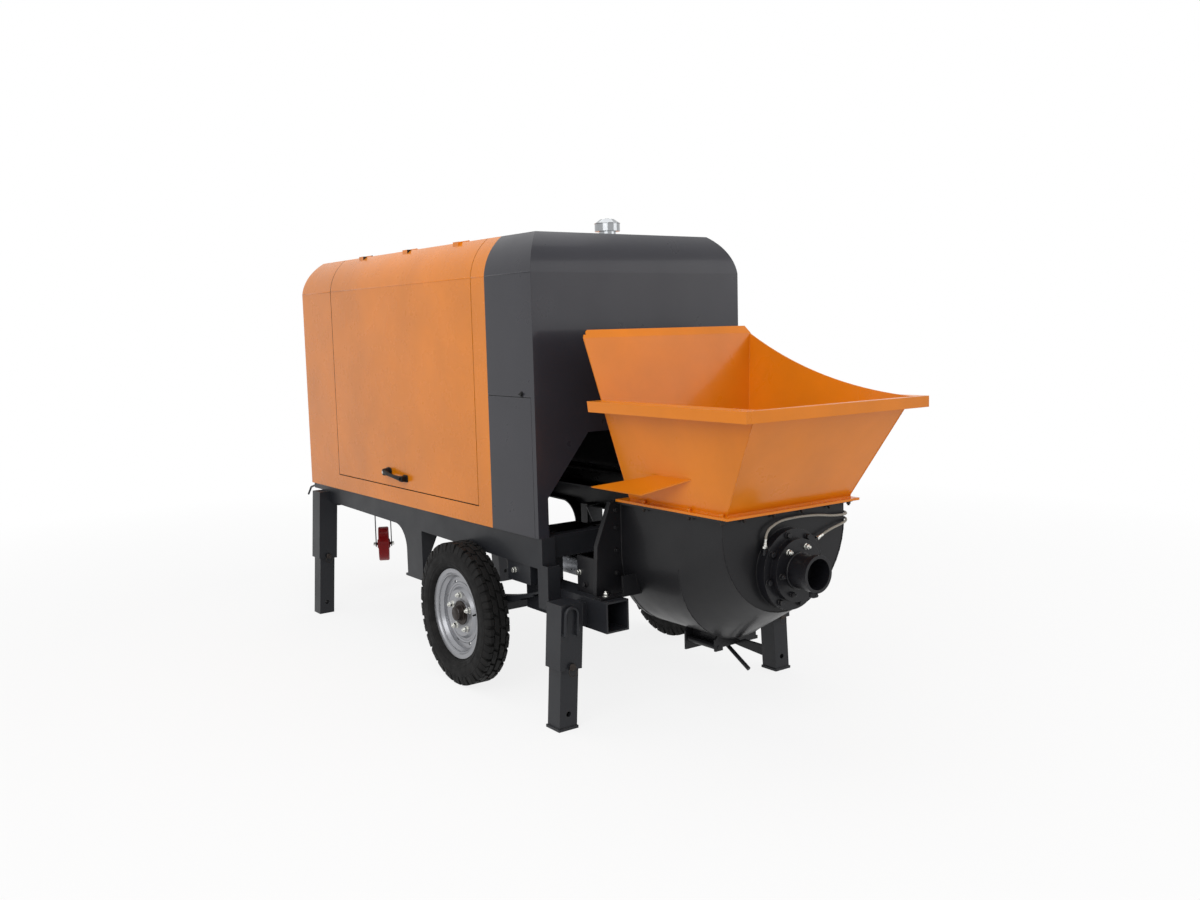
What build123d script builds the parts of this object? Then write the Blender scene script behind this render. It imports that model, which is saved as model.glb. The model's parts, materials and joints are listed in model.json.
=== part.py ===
"""Trailer-mounted concrete pump: a sheet-metal power pack canopy on a two-wheel chassis,
with a concrete hopper, S-shaped transfer tube and delivery outlet at the rear.

Millimetres. X runs forward from the canopy's rear face, +Y is the machine's left side
and Z is up from the ground. The finished parts are moved so that the origin lies under
the middle of the machine.
"""
from build123d import *
from math import atan, atan2, cos, degrees, hypot, radians, sin, tan
import os

# Canopy
canopy_length = 2578.0
canopy_width = 1200.0
canopy_bottom_z = 781.0
shoulder_z = 1937.0
roof_z = 2119.0
side_shoulder_inset = 102.0
end_shoulder_inset = 109.0
shoulder_bulge = 22.0
canopy_wall = 25.0
rear_section_length = 391.0
rear_post_foot_width = 55.0
rear_opening_top_width = 640.0
rear_opening_knee_z = 956.0
rear_opening_top_z = 1231.0
service_panel_top_z = 1399.0
service_panel_rear_x = 28.0
panel_gap = 2.0

# Gull-wing doors
door_rear_x = 512.0
door_front_x = 2147.0
door_bottom_z = 868.0
door_seam_y = 486.0
door_gap = 5.0
hinge_pin_radius = 3.0
hinge_knuckle_radius = 5.5
hinge_knuckle_length = 90.0
hinge_count = 3
hinge_rise = 1.5
hinge_leaf_thickness = 3.0
hinge_leaf_width = 34.0
hinge_leaf_gap = 4.0
hinge_leaf_depth = 20.0
hinge_notch_gap = 1.5
hinge_whole_share = 1.6
hinge_middle_share = 0.6
hinge_end_play = 1.0
handle_x = 1378.0
handle_z = 938.0
handle_length = 240.0
handle_radius = 11.0
handle_standoff = 34.0

# Radiator grille in the front wall
grille_width = 760.0
grille_bottom_z = 980.0
grille_height = 760.0
grille_slats = 15
grille_slat_thickness = 5.0
grille_slat_depth = 34.0
grille_slat_tilt = 40.0
grille_set_back = 3.0

# Roof cap
roof_cap_x = 250.0
roof_cap_radius = 60.0
roof_cap_top_radius = 34.0
roof_cap_height = 80.0
roof_cap_dome = 18.0
roof_cap_neck_radius = 40.0
roof_cap_neck_height = 24.0

# Chassis
frame_half_width = 586.0
side_beam_rear_depth = 140.0
side_beam_front_depth = 96.0
beam_web = 8.0
beam_flange_width = 70.0
hanger_front_x = 1325.0
hanger_rear_x = 1148.0
hanger_bottom_z = 396.0
hanger_fillet = 130.0
hanger_gusset_width = 110.0
hanger_gusset_bottom_z = 456.0
crossmember_depth = 100.0
crossmember_width = 60.0
crossmember_stations = (30.0, 1700.0)
drop_bracket_rear_x = -40.0
drop_bracket_length = 80.0
drop_bracket_bottom_z = 466.0
hook_reach = 84.0
hook_fall = 24.0
hook_tip_reach = 50.0
hook_drop = 50.0
hook_radius = 6.0

# Lower rear beams and the outriggers above them
rear_beam_width = 117.0
rear_beam_outer_y = 520.0
rear_beam_bottom_z = 421.0
rear_beam_height = 133.0
rear_beam_wall = 8.0
rear_beam_end_x = -376.0
rear_beam_front_x = 240.0
outrigger_rear_x = 110.0
outrigger_length = 190.0

# Legs
leg_sleeve_side = 112.0
leg_tube_side = 90.0
leg_fit_gap = 0.3
leg_foot_y = 640.0
leg_splay = 0.06
leg_cap_thickness = 10.0
front_leg_x = 2394.0
rear_leg_x = -200.0
front_sleeve_bottom_z = 340.0
front_sleeve_top_z = 747.0
rear_sleeve_bottom_z = 262.0
rear_sleeve_top_z = 542.0
leg_pin_radius = 12.0
leg_pin_rise = 18.0
leg_pin_reach = 10.0
leg_hole_z = 68.0
foot_plate_thickness = 12.0
foot_plate_side = 100.0
leg_packer_width = 70.0
leg_packer_height = 100.0
leg_loop_half_width = 31.0
leg_loop_offset = 11.0
leg_loop_bottom_z = 415.0
leg_loop_shoulder_z = 500.0
leg_loop_standoff = 14.0
leg_loop_radius = 7.0

# Wheels and axle
wheel_x = 608.0
wheel_lift = 3.0
tyre_radius = 344.0
tyre_half_section = 64.0
tread_half_width = 58.0
tyre_shoulder_drop = 22.0
tyre_shoulder_chamfer = 7.0
tyre_belly_radius = 275.0
tyre_lug_depth = 9.0
tyre_lug_gap = 16.0
tyre_lug_reach = 26.0
tyre_lugs = 26
wheel_centre_y = 653.0
rim_radius = 218.0
rim_half_width = 41.0
rim_bead_radius = 203.0
rim_wall = 5.0
rim_well_radius = 178.0
hub_radius = 62.0
hub_length = 86.0
hub_cap_radius = 34.0
disc_thickness = 8.0
disc_hub_radius = 112.0
disc_ridge_radius = 126.0
vent_circle_radius = 148.0
vent_radius = 13.0
vent_count = 8
axle_side = 50.0
axle_half_length = 556.0
spindle_radius = 22.0
spindle_length = 132.0
spindle_clearance = 0.05
bearing_gap = 2.0

# Leaf springs
spring_inset = 40.0
spring_width = 50.0
spring_leaf = 9.0
spring_leaves = 5
spring_front_x = 1228.0
spring_front_z = 446.0
spring_rear_x = 0.0
spring_rear_z = 548.0
spring_seat = 10.0
spring_eye_radius = 24.0
spring_pin_radius = 11.0
spring_pin_clearance = 0.1
spring_ear_gap = 0.3
spring_ear_thickness = 8.0

# Engine
engine_front_gap = 233.0
engine_length = 820.0
engine_width = 580.0
engine_height = 700.0
engine_rail_y = 250.0
engine_rail_width = 60.0

# Drawbar and jockey wheel
drawbar_length = 760.0
drawbar_side = 80.0
drawbar_foot_y = 430.0
drawbar_head_y = 45.0
drawbar_top_z = 740.0
eye_outer_radius = 62.0
eye_bore_radius = 35.0
eye_thickness = 40.0
eye_shank_length = 90.0
jockey_ahead = 297.0
jockey_wheel_radius = 114.0
jockey_wheel_width = 68.0
jockey_axle_z = 276.0
jockey_trail = 40.0
jockey_heading = -26.0
jockey_mast_radius = 32.0
jockey_mast_bottom_z = 520.0
jockey_mast_top_z = 830.0
jockey_crossbar_side = 70.0
jockey_spigot_radius = 18.0
jockey_fork_top_z = 470.0
jockey_fork_plate = 6.0
jockey_fork_gap = 14.0
jockey_axle_radius = 10.0
jockey_clearance = 0.05

# Concrete hopper
hopper_collar_front_x = -325.0
hopper_collar_rear_x = -930.0
hopper_collar_half_width = 345.0
hopper_collar_bend_z = 970.0
hopper_front_slope = 0.176
hopper_rear_slope = 0.6
hopper_side_slope = 0.2
hopper_rim_rear_x = -1207.0
hopper_rim_half_width = 503.0
hopper_rim_bottom_z = 1344.0
hopper_rim_top_z = 1389.0
hopper_sheet = 6.0
hopper_flange_top_z = 963.0
hopper_flange_thickness = 10.0
hopper_flange_front_x = -262.0
hopper_flange_rear_x = -960.0
hopper_flange_half_width = 373.0
back_plate_bend_z = 1651.0
back_plate_lip_rise = 34.0
back_plate_lip_reach = 20.0
back_plate_lip_corner = 20.0
back_plate_corner_radius = 20.0
wing_dip_rear_x = -894.0
wing_dip_rear_z = 1424.0
wing_dip_middle_x = -599.0
wing_dip_middle_z = 1495.0
side_plate_outer_y = 477.0
side_plate_outer_z = 1020.0
side_plate_wall_z = 1090.0
side_plate_front_x = -232.0
side_plate_rear_x = -565.0
side_plate_wall_front_x = -550.0
side_plate_wall_rear_x = -752.0
side_plate_thickness = 6.0

# Hopper tub
trough_axis_z = 712.0
trough_radius = 343.0
trough_wall = 12.0
trough_front_x = -257.0
trough_knee_x = -635.0
trough_rear_x = -900.0
trough_rear_rise = 163.0
trough_top_flange_width = 26.0
bulkhead_thickness = 25.0
bulkhead_top_half_width = 397.0
bulkhead_knee_half_width = 472.0
bulkhead_knee_z = 769.0
bulkhead_foot_half_width = 484.0
gusset_length = 122.0
gusset_height = 158.0
gusset_thickness = 12.0
tub_foot_x = -340.0
tub_foot_length = 44.0
tub_foot_thickness = 12.0
tub_foot_inner_y = 290.0
tub_foot_height = 90.0

# Delivery outlet
outlet_flange_radius = 165.0
outlet_flange_thickness = 42.0
outlet_plate_radius = 128.0
outlet_plate_thickness = 30.0
outlet_bore_radius = 62.5
outlet_pipe_radius = 70.0
outlet_ring_radius = 75.5
outlet_ring_length = 26.0
outlet_end_x = -1076.0

# S-shaped transfer tube and its shaft
transfer_radius = 74.0
transfer_bore_radius = 64.0
transfer_clearance = 1.5
transfer_bend_radius = 170.0
transfer_plate_thickness = 22.0
transfer_plate_radius = 96.0
transfer_plate_gap = 0.3
port_y = 118.0
port_z = 566.0
port_radius = 62.5
valve_shaft_radius = 30.0
valve_shaft_clearance = 0.05
valve_lever_thickness = 26.0
valve_lever_length = 150.0
valve_lever_gap = 6.0

# Pumping cylinders
cylinder_radius = 82.0
cylinder_front_x = 640.0
water_box_length = 260.0
water_box_half_width = 225.0
water_box_bottom_z = 452.0
water_box_top_z = 648.0
water_box_wall = 8.0
water_arm_x = 770.0
water_arm_width = 80.0
water_arm_depth = 50.0
ram_radius = 52.0
ram_length = 760.0
ram_end_radius = 64.0
ram_end_length = 40.0

# Clean-out door under the tub
cleanout_front_x = -440.0
cleanout_rear_x = -620.0
cleanout_half_width = 100.0
cleanout_neck_bottom_z = 352.0
cleanout_neck_wall = 8.0
cleanout_door_thickness = 14.0
cleanout_seat_gap = 0.3
cleanout_hinge_y = 126.0
cleanout_pin_radius = 8.0
cleanout_knuckle_radius = 13.0
cleanout_clearance = 0.1
cleanout_lug_thickness = 10.0
cleanout_front_lug_bottom_z = 298.0
cleanout_front_lug_inner_y = -1.0
cleanout_rear_lug_bottom_z = 329.0
cleanout_rear_lug_inner_y = 102.0
cleanout_end_gap = 2.0
cleanout_lever_radius = 9.0
cleanout_bar_end_x = -764.0
cleanout_bar_thickness = 14.0
cleanout_bar_height = 42.0

# Grease hoses and their distributor on the tub's right wall
hose_radius = 5.0
hose_x = -921.0
hose_wall_y = -385.0
hose_left_z = 893.0
hose_right_z = 868.0
nipple_radius = 8.0
nipple_length = 38.0
hose_turn = 48.0
distributor_rear_x = -800.0
distributor_length = 46.0
distributor_width = 62.0
distributor_bottom_z = 848.0
distributor_height = 66.0

ground_z = 0.0
wheel_z = tyre_radius + wheel_lift
hose_end_x = distributor_rear_x - 12
side_beam_front_x = front_leg_x - leg_sleeve_side / 2
half_canopy = canopy_width / 2
rear_opening_bottom_width = canopy_width - 2 * rear_post_foot_width
spring_centre_y = frame_half_width - spring_inset
engine_rear_x = canopy_length - canopy_wall - engine_front_gap - engine_length
sleeve_top_inner_y = leg_foot_y - leg_splay * front_sleeve_top_z - leg_sleeve_side / 2 - 1
eye_x = canopy_length + drawbar_length + eye_shank_length + eye_outer_radius * 0.9
machine_front_x = eye_x + eye_outer_radius
machine_middle_x = (machine_front_x + hopper_rim_rear_x) / 2


def block(x0, x1, y0, y1, z0, z1):
    """A box between two opposite corners."""
    size = (abs(x1 - x0), abs(y1 - y0), abs(z1 - z0))
    return Pos((x0 + x1) / 2, (y0 + y1) / 2, (z0 + z1) / 2) * Box(*size)


def rod(start, end, radius):
    """A round bar from one point to another."""
    run = Vector(*end) - Vector(*start)
    base = Plane(origin=start, z_dir=run)
    return base * Cylinder(radius, run.length, align=(Align.CENTER, Align.CENTER, Align.MIN))


def plate_xz(points, y0, y1):
    """A flat plate with a straight-sided outline in X and Z, from y0 to y1."""
    face = make_face(Polyline(*[(x, y0, z) for x, z in points], close=True))
    return extrude(face, amount=y1 - y0, dir=(0, 1, 0))


def plate_yz(points, x0, x1):
    """A flat plate with a straight-sided outline in Y and Z, from x0 to x1."""
    face = make_face(Polyline(*[(x0, y, z) for y, z in points], close=True))
    return extrude(face, amount=x1 - x0, dir=(1, 0, 0))


def mirrored(shape):
    """The same piece on the machine's right side."""
    return mirror(shape, about=Plane.XZ)


def corner_face(corners):
    """A flat face through corner points."""
    return make_face(Polyline(*corners, close=True))


def rectangle_at(z, x0, x1, y0, y1):
    """A level rectangle at height z."""
    return corner_face([(x0, y0, z), (x1, y0, z), (x1, y1, z), (x0, y1, z)])


def between(lower, upper):
    """The straight-sided solid between two flat faces."""
    return loft([lower, upper], ruled=True)


def canopy_outline(plane, u0, u1, inset, bottom):
    """Upright walls, curved shoulders and a flat roof, drawn in a plane."""
    chord = Vector(-inset, roof_z - shoulder_z)
    outward = Vector(chord.Y, -chord.X).normalized() * shoulder_bulge
    far = Vector(u1, shoulder_z) + chord * 0.5 + outward
    near = Vector(u0 + u1 - far.X, far.Y)
    sketch = make_face(
        [
            Line((u0, bottom), (u1, bottom)),
            Line((u1, bottom), (u1, shoulder_z)),
            ThreePointArc((u1, shoulder_z), (far.X, far.Y), (u1 - inset, roof_z)),
            Line((u1 - inset, roof_z), (u0 + inset, roof_z)),
            ThreePointArc((u0 + inset, roof_z), (near.X, near.Y), (u0, shoulder_z)),
            Line((u0, shoulder_z), (u0, bottom)),
        ]
    )
    return plane, sketch


def canopy_volume(inward, bottom):
    """The canopy's outer form, or the space inside walls of the given thickness."""
    end_plane, end_face = canopy_outline(
        Plane.YZ, -half_canopy, half_canopy, side_shoulder_inset, bottom
    )
    side_plane, side_face = canopy_outline(
        Plane.XZ, 0.0, canopy_length, end_shoulder_inset, bottom
    )
    if inward:
        end_face = offset(end_face, amount=-inward, kind=Kind.INTERSECTION)
        side_face = offset(side_face, amount=-inward, kind=Kind.INTERSECTION)
    along = extrude(end_plane * end_face, amount=canopy_length)
    across = extrude(side_plane * side_face, amount=half_canopy, both=True)
    return along & across


def door_region(gap):
    """The space that the left gull-wing door fills, drawn in by a gap on its free edges."""
    return block(
        door_rear_x + gap, door_front_x - gap, door_seam_y + gap, half_canopy + 50,
        door_bottom_z + gap, roof_z + 50,
    )


def rear_opening():
    """The cut-out in the canopy's rear wall around the pumping gear."""
    low = rear_opening_bottom_width / 2
    high = rear_opening_top_width / 2
    outline = [
        (-low, canopy_bottom_z - 50), (low, canopy_bottom_z - 50), (low, rear_opening_knee_z),
        (high, rear_opening_top_z), (-high, rear_opening_top_z), (-low, rear_opening_knee_z),
    ]
    return plate_yz(outline, -10, canopy_wall + 10)


def grille():
    """Tilted slats across the radiator opening in the front wall."""
    slats = []
    middle = canopy_length - canopy_wall / 2
    pitch = grille_height / grille_slats
    for i in range(grille_slats):
        z = grille_bottom_z + pitch * (i + 0.5)
        slat = Box(grille_slat_depth, grille_width + 8, grille_slat_thickness)
        slats.append(Pos(middle, 0, z) * Rot(0, grille_slat_tilt, 0) * slat)
    slab = block(canopy_length - canopy_wall, canopy_length - grille_set_back, -grille_width, grille_width, 0, roof_z)
    return [slat & slab for slat in slats]


def hinge_stations():
    """Middle of each door hinge along X."""
    run = door_front_x - door_rear_x
    return [door_rear_x + run * (i + 0.5) / hinge_count for i in range(hinge_count)]


hinge_z = roof_z + hinge_rise


def hinge_notches(side, share):
    """Room round the door hinges, over a share of each knuckle row."""
    reach = hinge_knuckle_length / 2 * share + hinge_end_play
    y = side * door_seam_y
    radius = hinge_knuckle_radius + hinge_notch_gap
    return [rod((x - reach, y, hinge_z), (x + reach, y, hinge_z), radius) for x in hinge_stations()]


def door_hinges_on_roof(side):
    """Pins, end knuckles and leaves that stay with the roof."""
    made = []
    inner = hinge_knuckle_length / 2 * hinge_middle_share + hinge_end_play
    outer = hinge_knuckle_length / 2 * hinge_whole_share
    y = side * door_seam_y
    for x in hinge_stations():
        made.append(rod((x - outer, y, hinge_z), (x + outer, y, hinge_z), hinge_pin_radius))
        for x0, x1 in ((x - outer, x - inner), (x + inner, x + outer)):
            made.append(rod((x0, y, hinge_z), (x1, y, hinge_z), hinge_knuckle_radius))
            made.append(block(x0, x1, y - side * hinge_leaf_width, y, roof_z - 3, roof_z + hinge_leaf_thickness))
    return made


def door_hinges_on_door(side):
    """Middle knuckles and their leaves, which turn with the door."""
    made = []
    half = hinge_knuckle_length / 2 * hinge_middle_share
    y = side * door_seam_y
    for x in hinge_stations():
        knuckle = rod((x - half, y, hinge_z), (x + half, y, hinge_z), hinge_knuckle_radius)
        leaf = block(x - half, x + half, y + side * hinge_leaf_gap, y + side * hinge_leaf_width,
                     roof_z - hinge_leaf_depth, roof_z + hinge_leaf_thickness)
        bore = rod((x - half - 1, y, hinge_z), (x + half + 1, y, hinge_z), hinge_pin_radius + spindle_clearance)
        made.append((knuckle + leaf) - bore)
    return made


canopy_shell = canopy_volume(0, canopy_bottom_z) - canopy_volume(canopy_wall, canopy_bottom_z / 2)


def canopy_front_shell():
    """Front canopy: roof spine, front wall with grille, door frames and sills."""
    shell = canopy_shell & block(rear_section_length, 2 * canopy_length, -canopy_width, canopy_width, 0, 2 * roof_z)
    shell -= door_region(0)
    shell -= mirrored(door_region(0))
    shell -= block(
        canopy_length - 100, canopy_length + 10, -grille_width / 2, grille_width / 2,
        grille_bottom_z, grille_bottom_z + grille_height,
    )
    for side in (1, -1):
        shell -= hinge_notches(side, hinge_middle_share)
    for piece in grille() + door_hinges_on_roof(1) + door_hinges_on_roof(-1):
        shell += piece
    return shell


def service_panel_region(gap):
    """The lower side panel of the rear section on the left."""
    return block(
        service_panel_rear_x + gap, rear_section_length, half_canopy - canopy_wall - 5,
        half_canopy + 5, canopy_bottom_z - 5, service_panel_top_z - gap,
    )


def canopy_rear_shell():
    """Rear canopy section with its cut-out rear wall."""
    shell = canopy_shell & block(-canopy_wall, rear_section_length, -canopy_width, canopy_width, 0, 2 * roof_z)
    shell -= rear_opening()
    shell -= service_panel_region(0)
    shell -= mirrored(service_panel_region(0))
    return shell


def service_panel():
    """Lift-off lower side panel of the rear section."""
    return canopy_shell & service_panel_region(panel_gap)


def canopy_door(side):
    """Gull-wing door: side wall and curved shoulder in one panel."""
    region = door_region(door_gap)
    if side < 0:
        region = mirrored(region)
    door = (canopy_shell & region) - hinge_notches(side, hinge_whole_share)
    for piece in door_hinges_on_door(side):
        door += piece
    return door


def door_handle():
    """Lever handle low on the left door."""
    y = half_canopy
    x0 = handle_x - handle_length / 2
    x1 = handle_x + handle_length / 2
    boss = rod((x1 - 30, y, handle_z + 12), (x1 - 30, y + handle_standoff, handle_z + 12), 20)
    grip = rod((x1 - 30, y + handle_standoff - 10, handle_z + 12), (x0, y + handle_standoff, handle_z - 12), handle_radius)
    tail = rod((x0, y + handle_standoff, handle_z - 12), (x0, y + 4, handle_z - 12), handle_radius)
    return boss + grip + tail


def roof_cap():
    """Round breather cap: neck, wide skirt and a shallow cone on top."""
    skirt_z = roof_z + roof_cap_neck_height
    dome_z = roof_z + roof_cap_height - roof_cap_dome
    profile = make_face(Polyline(
        (0, roof_z), (roof_cap_neck_radius, roof_z), (roof_cap_neck_radius, skirt_z),
        (roof_cap_radius, skirt_z), (roof_cap_radius, dome_z),
        (roof_cap_top_radius, roof_z + roof_cap_height), (0, roof_z + roof_cap_height), close=True,
    ))
    return Pos(roof_cap_x, 0, 0) * revolve(Plane.XZ * profile, axis=Axis.Z)


def beam_depth_at(x):
    """Side beam depth, which tapers towards the front."""
    share = x / side_beam_front_x
    return side_beam_rear_depth + (side_beam_front_depth - side_beam_rear_depth) * share


def side_beam():
    """Left side beam with its spring hanger: a web with a flange round its edge."""
    top = canopy_bottom_z

    def low(x):
        return top - beam_depth_at(x)

    outline = Polyline(
        (0, top), (0, low(0)), (hanger_rear_x, low(hanger_rear_x)),
        (hanger_rear_x, hanger_bottom_z), (hanger_front_x, hanger_bottom_z),
        (hanger_front_x, low(hanger_front_x)), (side_beam_front_x, low(side_beam_front_x)),
        (side_beam_front_x, top), close=True,
    )
    face = make_face(outline)
    corner = face.vertices().filter_by(
        lambda v: abs(v.X - hanger_front_x) < 1 and abs(v.Y - low(hanger_front_x)) < 1
    )
    face = fillet(corner, radius=hanger_fillet)
    inner = offset(face, amount=-beam_web, kind=Kind.INTERSECTION)
    outer_y = frame_half_width
    web = Pos(0, outer_y, 0) * extrude(Plane.XZ * face, amount=beam_web)
    flange = Pos(0, outer_y, 0) * extrude(Plane.XZ * (face - inner), amount=beam_flange_width)
    lip = block(hanger_front_x - 5, hanger_front_x + 24, outer_y - 60, outer_y, hanger_bottom_z, hanger_bottom_z + 12)
    flange -= block(hanger_rear_x - 1, hanger_rear_x + beam_web, outer_y - beam_flange_width - 5,
                    outer_y - beam_web, hanger_bottom_z + beam_web, low(hanger_rear_x))
    foot_y = spring_centre_y + spring_width / 2 + 3
    gusset = plate_yz(
        [
            (outer_y - 5, low(hanger_rear_x) + 5), (outer_y - hanger_gusset_width, low(hanger_rear_x) + 5),
            (foot_y, hanger_gusset_bottom_z), (outer_y - 5, hanger_gusset_bottom_z),
        ],
        hanger_rear_x, hanger_rear_x + beam_web,
    )
    return web + flange + lip + gusset


def spring_pin(x, z, inner_y):
    """Pin across one spring eye, from the side beam's web inwards."""
    return rod((x, inner_y, z), (x, frame_half_width - beam_web + 2, z), spring_pin_radius)


def lashing_hook():
    """Round-bar hook at the left front corner of the chassis."""
    y = frame_half_width - 10
    root = (canopy_length - 6, y, canopy_bottom_z - 17)
    bend = (canopy_length + hook_reach, y, root[2] - hook_fall)
    tip = (bend[0] + hook_tip_reach, y, bend[2] - hook_drop)
    return rod(root, bend, hook_radius) + Pos(*bend) * Sphere(hook_radius) + rod(bend, tip, hook_radius)


def bracket_arm():
    """Arm from the left side beam to the water box."""
    z1 = canopy_bottom_z - beam_depth_at(water_arm_x) + beam_web
    arm = block(water_arm_x - water_arm_width / 2, water_arm_x + water_arm_width / 2, water_box_half_width,
                frame_half_width - beam_web + 2, water_box_top_z - water_arm_depth, water_box_top_z)
    return arm + block(water_arm_x - water_arm_width / 2, water_arm_x + water_arm_width / 2,
                       frame_half_width - beam_flange_width, frame_half_width - beam_web + 2,
                       water_box_top_z - water_arm_depth, z1)


def chassis_frame():
    """Side beams, hangers, drop brackets, outriggers, crossmembers and engine rails."""
    top = canopy_bottom_z
    inner = frame_half_width - beam_web
    left = side_beam()
    hanger_flange_y = frame_half_width - beam_flange_width
    left += block(drop_bracket_rear_x, drop_bracket_rear_x + drop_bracket_length, frame_half_width - beam_web,
                  frame_half_width, drop_bracket_bottom_z, top - side_beam_rear_depth + 20)
    left += block(drop_bracket_rear_x, drop_bracket_rear_x + beam_web, rear_beam_outer_y, frame_half_width,
                  drop_bracket_bottom_z, top - side_beam_rear_depth + 20)
    left += block(drop_bracket_rear_x, 10, hanger_flange_y, frame_half_width, top - side_beam_rear_depth,
                  top - side_beam_rear_depth + beam_web)
    left += bracket_arm()
    ear_y = spring_centre_y - spring_width / 2 - spring_ear_gap
    beam_low = top - beam_depth_at(spring_front_x)
    left += block(spring_front_x - 32, spring_front_x + 32, ear_y - spring_ear_thickness, ear_y,
                  spring_front_z - 32, beam_low + beam_web)
    left += block(spring_front_x - 32, spring_front_x + 32, ear_y - 2, inner + 2, beam_low, beam_low + beam_web)
    left += spring_pin(spring_front_x, spring_front_z, ear_y - spring_ear_thickness - 6)
    left += spring_pin(spring_rear_x, spring_rear_z, rear_beam_outer_y)
    left += block(outrigger_rear_x, outrigger_rear_x + outrigger_length, rear_beam_outer_y - rear_beam_width,
                  inner + 2, rear_beam_bottom_z + rear_beam_height, top - 60)
    left += lashing_hook()
    frame = left + mirrored(left)
    for x in crossmember_stations:
        frame += block(x, x + crossmember_width, -inner, inner, top - crossmember_depth, top)
    headstock_rear = side_beam_front_x
    frame += block(headstock_rear, canopy_length, -frame_half_width, frame_half_width, front_sleeve_top_z, top)
    frame += block(headstock_rear, canopy_length, -sleeve_top_inner_y, sleeve_top_inner_y,
                   top - side_beam_front_depth - 30, front_sleeve_top_z + 5)
    for side in (-1, 1):
        rail = side * engine_rail_y
        frame += block(crossmember_stations[1] - 260, headstock_rear + 5, rail - engine_rail_width / 2,
                       rail + engine_rail_width / 2, top - 70, top)
    return frame


def rear_beam():
    """Left lower rear beam, an open-ended box section."""
    y0 = rear_beam_outer_y - rear_beam_width
    z1 = rear_beam_bottom_z + rear_beam_height
    t = rear_beam_wall
    outer = block(rear_beam_end_x, rear_beam_front_x, y0, rear_beam_outer_y, rear_beam_bottom_z, z1)
    return outer - block(rear_beam_end_x - 5, rear_beam_front_x + 5, y0 + t, rear_beam_outer_y - t,
                         rear_beam_bottom_z + t, z1 - t)


def leaned(leg, x):
    """Stand an upright leg on its place on the left, leaning inwards towards its top."""
    return Pos(x, leg_foot_y, 0) * Rot(degrees(atan(leg_splay)), 0, 0) * leg


def square_bar(side, bottom, top):
    """Upright square bar about the vertical axis."""
    return block(-side / 2, side / 2, -side / 2, side / 2, bottom, top)


def leg_sleeve(x, bottom, top):
    """Square outer sleeve of a support leg with its cap and locking pin."""
    half = leg_sleeve_side / 2
    bore = leg_tube_side + 2 * leg_fit_gap
    pin_z = bottom + leg_pin_rise
    sleeve = square_bar(leg_sleeve_side, bottom, top + 20)
    sleeve -= square_bar(bore, bottom - 5, top - leg_cap_thickness)
    sleeve += rod((-half - leg_pin_reach, 0, pin_z), (-bore / 2 + leg_fit_gap, 0, pin_z), leg_pin_radius)
    return leaned(sleeve, x) & block(x - 2 * half, x + 2 * half, 0, leg_foot_y * 2, 0, top)


def rear_leg_sleeve():
    """Rear sleeve with its packer against the lower rear beam and a lifting loop behind."""
    half = leg_sleeve_side / 2
    sleeve = leg_sleeve(rear_leg_x, rear_sleeve_bottom_z, rear_sleeve_top_z)
    low = rear_beam_bottom_z + 10
    packer = block(rear_leg_x - leg_packer_width / 2, rear_leg_x + leg_packer_width / 2, rear_beam_outer_y,
                   leg_foot_y - half, low, low + leg_packer_height)
    sleeve += packer - leaned(square_bar(leg_sleeve_side - 4, 0, rear_sleeve_top_z + 50), rear_leg_x)
    outer, inner = leg_loop_offset + leg_loop_half_width, leg_loop_offset - leg_loop_half_width
    rear = -half - leg_loop_standoff
    low, high = leg_loop_bottom_z, leg_loop_shoulder_z
    crown = high + leg_loop_half_width
    uprights = Line((rear, outer, low), (rear, outer, high)) + Line((rear, inner, high), (rear, inner, low))
    arch = ThreePointArc((rear, outer, high), (rear, leg_loop_offset, crown), (rear, inner, high))
    start = Plane(origin=(rear, outer, low), z_dir=(0, 0, 1))
    loop = sweep(start * Circle(leg_loop_radius), path=Wire([*uprights.edges(), arch.edge()]))
    for y in (outer, inner):
        loop += rod((rear - leg_loop_radius, y, low), (-half + 4, y, low), leg_loop_radius)
    return sleeve + leaned(loop, rear_leg_x)


def leg_tube(x, top, foot):
    """Square inner leg, down to the ground, with or without its foot plate."""
    half = leg_tube_side / 2
    leg = square_bar(leg_tube_side, -20, top - leg_cap_thickness - 8)
    leg -= rod((-half - 5, 0, leg_hole_z), (half + 5, 0, leg_hole_z), leg_pin_radius)
    leg = leaned(leg, x) & block(x - half, x + half, 0, leg_foot_y * 2, ground_z, top)
    if foot:
        reach = foot_plate_side / 2
        leg += block(x - reach, x + reach, leg_foot_y - reach, leg_foot_y + reach, ground_z, foot_plate_thickness)
    return leg


def spring_circle():
    """Centre and radius of the main leaf's centre line, seen from the side."""
    low_z = wheel_z + axle_side / 2 + spring_seat + spring_leaf * (spring_leaves - 0.5)
    ax, az = spring_front_x, spring_front_z
    bx, bz = wheel_x, low_z
    cx, cz = spring_rear_x, spring_rear_z
    d = 2 * (ax * (bz - cz) + bx * (cz - az) + cx * (az - bz))
    ux = ((ax**2 + az**2) * (bz - cz) + (bx**2 + bz**2) * (cz - az) + (cx**2 + cz**2) * (az - bz)) / d
    uz = ((ax**2 + az**2) * (cx - bx) + (bx**2 + bz**2) * (ax - cx) + (cx**2 + cz**2) * (bx - ax)) / d
    return ux, uz, hypot(ax - ux, az - uz)


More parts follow.
